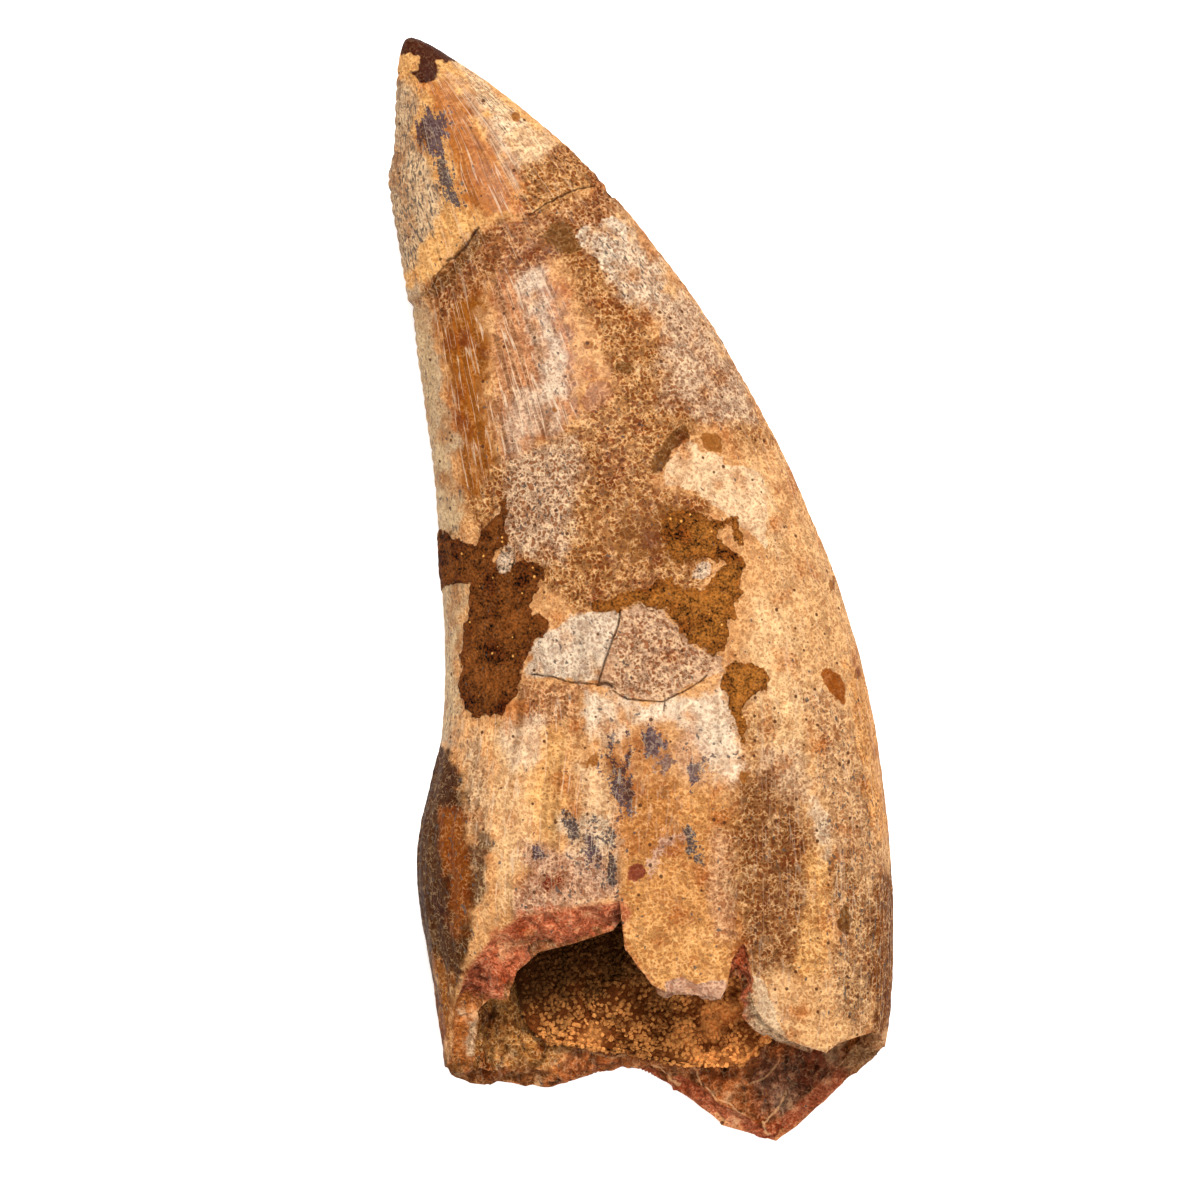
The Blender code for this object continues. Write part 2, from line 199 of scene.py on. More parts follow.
zones = {
    "outer": [
        zone("flank", [(-2.0, 19.8), (0.6, 17.4), (4.4, 12.3), (8.6, 4.6), (11.4, -3.1), (12.8, -10.8),
            (12.8, -24), (5, -22), (5.0, -9), (5.6, -3), (6.1, 2.5), (5.2, 6), (3.2, 9.4), (1.2, 13)], 0.8,
            grit=0.38, streak=0.3, speck=0.12, pits=1.0, gloss=0.3),
        zone("flankPale", [(5.4, -0.4), (7.2, -1.2), (8.2, -6.0), (7.2, -9.2), (5.4, -7.4), (4.9, -3.2)],
            0.9, 0.7),
        zone("flankPale", [(5.2, 6.2), (6.6, 4.8), (6.4, 2.0), (5.2, 3.8)], 0.7, 0.7),
        zone("tan", [(4.4, 10.6), (6.0, 8.0), (8.0, 3.4), (7.2, 2.6), (5.6, 6.4), (4.2, 8.6)], 0.7, 0.8),
        zone("granular", [(-5.2, 19.0), (-2.0, 19.0), (-0.6, 14.2), (1.2, 11.8), (4.4, 10.6), (5.4, 8.2),
            (2.8, 7.6), (1.0, 6.2), (0.8, 4.8), (3.6, 4.2), (2.8, -0.4), (-2.5, -1.2), (-6.4, 1.6),
            (-8.4, 3.6), (-8.0, 5.6), (-5.2, 6.6), (-2.9, 8.0), (-1.2, 9.4), (-2.4, 12.8), (-3.6, 15.4)],
            0.45, grit=1.0, pits=0.4, gloss=0.12),
        zone("granular", [(3.8, 9.4), (5.2, 9.0), (6.2, 7.2), (4.6, 6.8)], 0.5, 0.75, grit=0.8),
        zone("greyGranular", [(0.6, 10.6), (2.2, 10.4), (2.4, 8.6), (0.8, 8.6)], 0.5, 0.6),
        zone("spotBrown", [(-3.2, 6.4), (-1.4, 6.6), (-1.2, 4.6), (-2.8, 4.4)], 0.5, 0.4),
        zone("crustBrown", [(-3.0, 3.6), (-1.4, 4.8), (1.6, 5.0), (3.6, 4.2), (3.0, 1.4), (0.4, 0.4),
            (-2.2, 1.2)], 0.6, 0.85, grit=0.8),
        zone("amber", [(-0.7, 3.0), (-0.1, 3.7), (0.6, 4.0), (2.4, 3.8), (2.4, 1.3), (0.9, 1.0),
            (-0.5, 1.4), (-0.9, 2.2)], 0.4, 0.9, grit=0.5),
        zone("chipCream", [(-2.4, 16.5), (-1.8, 17.5), (-0.9, 17.6), (1.0, 15.5), (1.6, 13.4),
            (-0.6, 14.0)], 0.5, 0.8, grit=0.7, speck=0.6),
        zone("greyGranular", [(0.6, 13.8), (2.0, 14.4), (4.2, 11.6), (5.2, 9.4), (5.4, 8.0), (3.2, 7.8),
            (2.2, 8.6), (1.4, 10.8)], 0.6, 0.95, grit=0.8),
        zone("greyGranular", [(-6.4, 6.2), (-4.6, 6.9), (-3.0, 7.2), (-2.8, 4.2), (-3.8, 1.4), (-6.2, 1.8),
            (-6.6, 4.2)], 0.6, 0.85, grit=1.0, speck=0.35),
        zone("ochre", [(-10.6, 15.0), (-8.6, 16.2), (-7.4, 15.0), (-7.1, 12.0), (-7.3, 9.0), (-7.0, 6.4),
            (-7.6, 4.6), (-8.9, 4.6), (-9.0, 8.0), (-9.6, 11.0), (-10.2, 13.4)], 0.45, grit=0.1,
            streak=0.75, gloss=0.8, pits=0.2),
        zone("pinkTan", [(-7.2, 16.2), (-5.2, 16.8), (-4.4, 15.0), (-3.4, 12.4), (-3.0, 10.0), (-2.9, 8.5),
            (-4.2, 7.3), (-6.4, 6.4), (-7.1, 8.0), (-7.0, 11.0), (-7.3, 14.0)], 0.4, grit=0.4, streak=1.0,
            gloss=0.65),
        zone("pinkCream", [(-6.0, 15.2), (-4.8, 15.4), (-4.2, 13.0), (-3.6, 11.4), (-3.5, 9.2), (-4.9, 9.0),
            (-5.3, 12.0)], 0.35, 0.95, grit=0.45, streak=0.55, speck=0.25, gloss=0.6),
        zone("pinkCream", [(-5.9, 9.6), (-4.6, 9.4), (-3.4, 8.6), (-4.4, 7.5), (-6.3, 6.7), (-6.7, 7.8)],
            0.35, 0.6, grit=0.4, streak=0.9),
        zone("strip", [(-13, 20), (-11.0, 16.4), (-10.4, 14.6), (-10.0, 12.5), (-9.4, 10.0), (-8.9, 7.0),
            (-8.8, 5.0), (-8.3, 3.2), (-9.0, 2.4), (-8.4, -0.4), (-8.8, -3.0), (-8.8, -5.6), (-8.0, -6.4),
            (-8.8, -7.6), (-13, -7.6)], 0.3, grit=0.15, speck=0.4, streak=0.2, pits=0.6, gloss=0.45),
        zone("lowStrip", [(-12.0, 14.2), (-10.4, 13.4), (-9.4, 7.4), (-8.9, 5.4), (-8.3, 3.2), (-8.4, -2.0),
            (-8.7, -6.6), (-11, -6.6)], 0.5, 0.85, speck=0.45),
        # towards the tip
        zone("gold", [(-12.6, 27), (-8, 27), (-1.8, 19.6), (-3.0, 19.2), (-5.0, 18.0), (-7.0, 17.9),
            (-8.4, 16.4), (-10.0, 14.8), (-12.6, 14.4)], 0.3, grit=0.3, speck=0.2, streak=0.4, pits=0.5,
            gloss=0.5),
        zone("strip", [(-12.6, 24.8), (-11.0, 24.4), (-10.7, 21.6), (-9.4, 18.8), (-10.2, 17.6),
            (-10.9, 15.4), (-12.6, 15.0)], 0.35, 0.9, speck=0.85, grit=0.3, streak=0.4, gloss=0.45),
        zone("tipCream", [(-9.6, 25.3), (-8.4, 24.6), (-7.0, 22.6), (-5.0, 19.4), (-6.0, 19.2),
            (-7.2, 21.4), (-8.6, 23.8)], 0.3, 0.9, streak=0.9, grit=0.3, gloss=0.5),
        zone("orange", [(-10.2, 24.7), (-9.3, 24.5), (-8.0, 22.6), (-6.9, 20.6), (-6.0, 19.0), (-6.4, 18.2),
            (-8.2, 17.9), (-8.9, 20.0), (-9.3, 21.8), (-9.8, 23.2)], 0.25, grit=0.1, streak=0.8, gloss=0.7,
            speck=0.05),
        zone("chipPale", [(-9.7, 25.8), (-8.2, 25.5), (-6.8, 24.0), (-5.6, 22.4), (-6.5, 21.7),
            (-7.5, 23.4), (-8.6, 24.8)], 0.25, 0.85, speck=0.8, grit=0.5),
        zone("cream", [(-7.4, 23.2), (-5.6, 22.4), (-4.0, 21.6), (-3.6, 20.9), (-5.0, 19.8), (-6.2, 20.6)],
            0.6, 0.5, speck=0.4, grit=0.6),
        zone("granular", [(-5.6, 20.4), (-3.4, 21.8), (-1.4, 19.7), (-3.0, 19.2), (-5.0, 18.1),
            (-6.2, 18.4)], 0.4, grit=1.0, pits=0.5, gloss=0.15),
        # a brown, rough band below the break line, partly painted shade under the ledge where the tip side
        # stands proud
        zone("belowBreak", [(-10.7, 14.0), (-9.2, 15.9), (-7.6, 17.2), (-5.6, 17.8), (-3.4, 18.8),
            (-1.2, 19.4), (-0.6, 18.2), (-2.6, 16.8), (-5.0, 15.6), (-7.6, 14.6), (-9.4, 13.0)], 0.4, 0.9,
            grit=0.9, streak=0.3, gloss=0.3),
        # painted shade right under the ledge, at its trailing end
        zone("darkPatch", [(-10.7, 14.2), (-9.6, 15.3), (-8.9, 15.9), (-8.2, 16.7), (-7.7, 17.3),
            (-7.3, 17.0), (-8.2, 15.7), (-9.2, 14.4), (-10.3, 13.7)], 0.25, 0.8, grit=0.5),
        # below the crusts
        zone("tan", [(-8.8, -6.2), (-5.6, -4.6), (-2.6, -4.8), (-1.0, -8), (-0.8, -14), (-6.2, -15.6),
            (-7.6, -17.2), (-8.2, -14), (-8.6, -10)], 0.4, grit=0.3, streak=0.6, pits=0.7, gloss=0.45),
        zone("flankPale", [(-6.8, -7.0), (-5.6, -6.6), (-4.8, -9.0), (-5.2, -13.6), (-6.6, -15.4),
            (-7.0, -11)], 0.5, 0.6),
        zone("gold", [(-4.9, -6.4), (-3.6, -6.4), (-3.4, -10.2), (-4.4, -12.0), (-5.2, -10)], 0.5, 0.8,
            streak=0.8),
        zone("pinkTan", [(-5.8, -4.2), (-2.6, -4.6), (-3.3, -6.4), (-5.2, -6.4)], 0.35, 0.75, grit=0.9,
            gloss=0.2),
        zone("strip", [(-8.4, -6.4), (-7.6, -6.4), (-7.2, -10), (-7.3, -15), (-8.0, -15), (-8.2, -10)], 0.4,
            0.6, grit=0.7, streak=0.5),
        zone("lowerCream", [(-2.6, -4.8), (-0.6, -5.2), (1.1, -5.4), (3.8, -4.5), (4.5, -6.4), (5.1, -8.4),
            (4.2, -9.4), (2.4, -7.0), (1.4, -6.4), (-0.6, -6.4), (-1.6, -7.6), (-2.6, -6.6)], 0.35, 0.95,
            grit=0.3, streak=0.5, speck=0.3, gloss=0.6),
        zone("tan", [(-3.2, -6.6), (-1.4, -6.8), (-0.6, -8), (-0.6, -11), (-2.8, -11), (-3.6, -9)], 0.5,
            0.6, streak=0.6, grit=0.4),
        zone("mauve", [(1.6, -6.4), (2.6, -6.2), (3.2, -7.8), (2.8, -9.0), (1.6, -8.4)], 0.45, 0.5,
            streak=0.7, speck=0.5),
        zone("cream", [(-3.6, -10.8), (-1.4, -10.8), (-0.8, -12.6), (-1.2, -13.8), (-3.2, -13.6)], 0.4, 0.7,
            speck=0.8, grit=0.6),
        zone("mauve", [(-5.4, -12.0), (-3.4, -12.8), (-1.2, -13.0), (-0.6, -14.8), (-3.6, -15.2),
            (-6.0, -15.6)], 0.5, 0.8, grit=0.8, speck=0.35, streak=0.2, gloss=0.4),
        zone("flap", [(-0.5, -10.6), (1.0, -9.2), (3.4, -9.8), (5.0, -10.6), (5.0, -16), (4.6, -19.2),
            (1.2, -19.6), (-0.9, -17.4), (-0.9, -14.8), (-1.0, -12.4)], 0.4, grit=0.45, pits=0.6,
            gloss=0.4),
        zone("gold", [(-0.2, -15.6), (3.6, -16.2), (4.4, -19), (1.2, -19.4), (-0.4, -17.6)], 0.5, 0.3,
            speck=0.25),
        zone("mauve", [(3.2, -11.6), (4.6, -11.6), (4.6, -16.4), (3.6, -16.4)], 0.5, 0.45, grit=0.8),
        zone("orange", [(0.0, -6.2), (1.2, -6.2), (1.5, -9.8), (2.6, -10.2), (0.9, -12.6), (-0.9, -12.9),
            (-1.4, -11.0), (-0.2, -9.0)], 0.3, 0.6, streak=0.35, gloss=0.5),
        zone("granular", [(4.8, -7.8), (6.2, -7.6), (6.4, -9.6), (5.0, -9.8)], 0.4, 0.6, grit=0.7),
        zone("lowerCream", [(-6.6, -6.2), (-4.6, -6.2), (-4.5, -8.2), (-6.2, -8.6)], 0.4, 0.5, streak=0.6),
        zone("chipPale", [(-2.9, -8.4), (-1.6, -8.4), (-1.4, -10.6), (-2.8, -10.6)], 0.35, 0.55,
            streak=0.4),
        zone("granular", [(4.4, -5.6), (5.6, -5.2), (6.8, -6.4), (6.0, -7.9), (4.8, -8.0)], 0.5, 0.6,
            grit=0.8),
        zone("greyGranular", [(5.6, -7.6), (7.4, -7.2), (8.2, -9.4), (7.0, -10.6), (5.8, -9.2)], 0.6, 0.6,
            grit=0.7),
        zone("brownBand", [(4.4, -9.4), (6.2, -8.8), (8.2, -11.2), (8.6, -15.8), (7.4, -18.0), (5.2, -18.2),
            (4.4, -14)], 1.0, 0.95, grit=0.9, gloss=0.2),
        zone("gold", [(8.0, -12.6), (9.2, -12.6), (9.5, -16.4), (8.9, -18.2), (7.6, -18.4), (7.7, -16)],
            0.6, 0.8, grit=0.6),
        zone("greyFlank", [(7.8, -4.6), (9.8, -5.0), (11.4, -10), (11.8, -16), (10.8, -21.4), (9.4, -20),
            (9.2, -12), (8.4, -8)], 0.6, 0.85, grit=0.7, streak=0.3, speck=0.45, gloss=0.25),
        zone("greyFibre", [(8.8, -12.0), (10.4, -13.2), (11.6, -15), (11.6, -19.6), (9.7, -20.0),
            (9.5, -16)], 0.6, 0.85, grit=0.9, streak=0.5, speck=0.4),
        zone("cream", [(7.8, -9.6), (8.4, -9.6), (9.4, -12.6), (8.8, -13.0)], 0.3, 0.6, grit=0.5),
        zone("flap", [(9.8, -3.6), (13, -3.6), (13, -12.4), (11.4, -12), (10.4, -8)], 0.35, 0.9, streak=0.5,
            pits=0.9),
        zone("darkEdge", [(11.2, -13.6), (13, -13.0), (13, -21.6), (11.2, -21.2), (10.9, -17)], 0.4, 0.9,
            grit=0.7, streak=0.6, speck=0.4, gloss=0.0),
        zone("bark", [(-13, -6.8), (-9.1, -7.6), (-8.6, -9.0), (-8.3, -11.5), (-7.9, -14.8), (-8.3, -17.2),
            (-9.0, -20.2), (-9.3, -23.4), (-13, -24)], 0.25, 1.0, grit=0.3, streak=0.1, gloss=0.25,
            speck=0.3),
        zone("barkOrange", [(-9.4, -10.6), (-8.5, -10.6), (-8.1, -13.4), (-8.0, -15.4), (-8.8, -16.8),
            (-9.4, -13.6)], 0.35, 0.9, grit=0.2),
        zone("bark", [(-8.0, -11.6), (-7.3, -11.6), (-7.2, -14.8), (-7.9, -15.0)], 0.25, 0.7, streak=0.5),
        zone("orange", [(-9.9, -17.6), (-9.0, -18.4), (-8.8, -21.8), (-9.6, -22.6)], 0.3, 0.7, grit=0.5),
        zone("redDentine", [(-6.9, -16.5), (-5.6, -15.5), (-3.6, -15.1), (-0.8, -14.8), (-0.8, -15.6),
            (-7, -17.4)], 0.2, 0.8, grit=0.4),
        # the two cracked chips
        zone("chipCream", [(-5.4, -4.0), (-4.9, -2.4), (-3.3, -1.4), (-1.0, -1.1), (-1.6, -3.2),
            (-2.0, -4.3)], 0.25, grit=0.4, speck=0.35, streak=0.5),
        zone("roughChip", [(-1.0, -1.1), (0.9, -0.9), (2.4, -2.5), (3.9, -3.4), (2.2, -4.6), (0.6, -5.2),
            (-1.4, -4.7)], 0.25, grit=1.0, pits=0.4, gloss=0.2),
    ],
    "rim": [
        zone("deepRed", [(-9.0, -16.6), (-7.2, -18.0), (-7.8, -20.0), (-9.2, -20.0)], 0.3, 0.9),
        zone("deepRed", [(-1.4, -14.6), (-0.2, -14.6), (0.0, -17.4), (-1.2, -17.2)], 0.2, 0.8),
        zone("orange", [(-9.6, -19.8), (-7.4, -19.6), (-7.2, -23.2), (-9.6, -23.4)], 0.3, 0.8),
        zone("whitish", [(-8.5, -20.4), (-7.6, -20.2), (-7.5, -22.2), (-8.2, -22.3)], 0.25, 0.85),
        zone("rimGrey", [(-9.6, -22.6), (-4.6, -22.8), (-2.6, -23.2), (-2.6, -24.4), (-9.6, -24.4)], 0.35,
            0.85),
        zone("vein", [(-6.6, -17.0), (-5.0, -16.4), (-5.2, -17.0), (-6.6, -17.6)], 0.3, 0.5),
        zone("whitish", [(0.8, -18.0), (4.2, -18.2), (4.2, -19.8), (0.8, -19.6)], 0.3, 0.5),
        zone("whitish", [(5.2, -19.0), (6.2, -19.6), (7.2, -21.0), (9.6, -21.0), (9.6, -22.6), (6.4, -22.2),
            (5.0, -20.6)], 0.3, 0.85),
        zone("greyFlank", [(9.4, -20.8), (12, -20.6), (12, -23.4), (9.8, -23.6)], 0.3, 0.9),
        zone("cavityDark", [(8.2, -22.2), (9.6, -22.0), (9.8, -23.4), (8.6, -23.8)], 0.3, 0.7),
        zone("darkPatch", [(9.6, -21.4), (11.4, -21.4), (11.4, -22.6), (9.8, -23.2)], 0.3, 0.6),
    ],
    "wall": [
        zone("cavityTan", [(-9, -19.6), (-5.4, -18.2), (-3.2, -20.4), (-3.0, -22.0), (-4.4, -23.2),
            (-9, -23.4)], 0.5, grit=0.7, pits=0.6),
        # painted shade: the wall at the deep end of the cavity, under its upper wall, is darkened
        zone("cavityDark", [(-7.2, -18.4), (-5.2, -16.0), (0.6, -15.0), (5.2, -17.6), (5.2, -19.2),
            (-3, -20.2)], 0.8, 0.8),
        zone("rimGrey", [(-8.6, -22.6), (-5.0, -22.9), (-5.0, -24), (-9, -24)], 0.3, 0.8, pits=0.9),
        zone("greyPurple", [(5.8, -22.4), (8.0, -22.6), (8.2, -24.4), (6.6, -26.2), (5.6, -24.8)], 0.5,
            0.45),
        zone("mauve", [(5.8, -24.2), (7.2, -24.2), (7.0, -25.8), (6.2, -25.8)], 0.4, 0.5),
        zone("cavityDark", [(7.6, -21.8), (9.8, -21.8), (9.6, -23.4), (8.4, -23.8)], 0.4, 0.75),
        zone("deepRed", [(8.0, -22.0), (10.2, -22.2), (9.6, -23.8), (8.2, -24.8)], 0.4, 0.8),
        zone("darkEdge", [(9.6, -20.8), (12, -20.6), (11.6, -22.6), (10.2, -23.4)], 0.4, 0.7),
    ],
}

# Crisp marks by layer, from the lowest to the topmost. lift is how far one stands proud. The face
# that rests, "under", has marks of its own.
def mark(tint, outline, lift=0.0, side="upper"):
    return {"tint": tint, "outline": outline, "lift": lift, "side": side}


leftCrust = [
    (-9.8, 2.4), (-9.5, 2.8), (-9.0, 2.85), (-8.6, 2.4), (-8.3, 2.15), (-7.8, 2.3), (-7.5, 2.9),
    (-7.1, 3.4), (-6.7, 3.7), (-6.4, 4.6), (-6.3, 2.4), (-6.6, 2.1), (-6.9, 1.4), (-6.7, 0.7), (-6.4, 1.1),
    (-6.1, 1.35), (-5.0, 1.35), (-4.6, 1.0), (-4.7, 0.3), (-5.0, -0.4), (-5.1, -1.0), (-4.3, -1.5),
    (-4.3, -2.0), (-5.0, -2.4), (-5.3, -3.1), (-5.6, -3.8), (-5.5, -4.5), (-5.9, -5.1), (-6.7, -5.8),
    (-7.2, -6.0), (-8.0, -6.15), (-8.4, -5.8), (-8.6, -5.3), (-8.6, -4.4), (-8.5, -3.0), (-8.4, -2.0),
    (-8.2, -1.5), (-8.2, -0.5), (-8.1, 0.4), (-9.0, 0.3), (-9.5, 0.1), (-9.8, 0.5),
]
rightCrust = [
    (1.0, 3.0), (1.3, 3.7), (2.0, 3.8), (2.7, 3.6), (3.4, 3.4), (4.0, 3.15), (3.55, 2.9), (3.6, 2.5),
    (3.9, 2.2), (4.3, 2.05), (4.7, 1.7), (5.0, 1.2), (4.85, 0.6), (4.8, -0.2), (4.4, -0.6), (4.4, -1.4),
    (4.2, -2.2), (3.9, -2.9), (3.5, -3.15), (3.0, -2.85), (2.3, -2.4), (1.9, -1.9), (1.5, -1.5),
    (1.2, -0.85), (0.3, -0.8), (-0.15, -0.55), (-0.9, -0.95), (-1.7, -1.1), (-2.4, -0.85), (-2.6, -0.55),
    (-1.0, -0.35), (-0.4, 0.05), (0.3, 0.15), (0.9, 0.55), (1.6, 0.25), (2.3, 0.1), (3.05, 0.0),
    (3.35, 0.5), (3.5, 0.95), (4.1, 1.2), (3.5, 1.45), (2.9, 1.55), (2.3, 1.4), (1.9, 1.2), (1.5, 1.6),
    (1.1, 2.3),
]
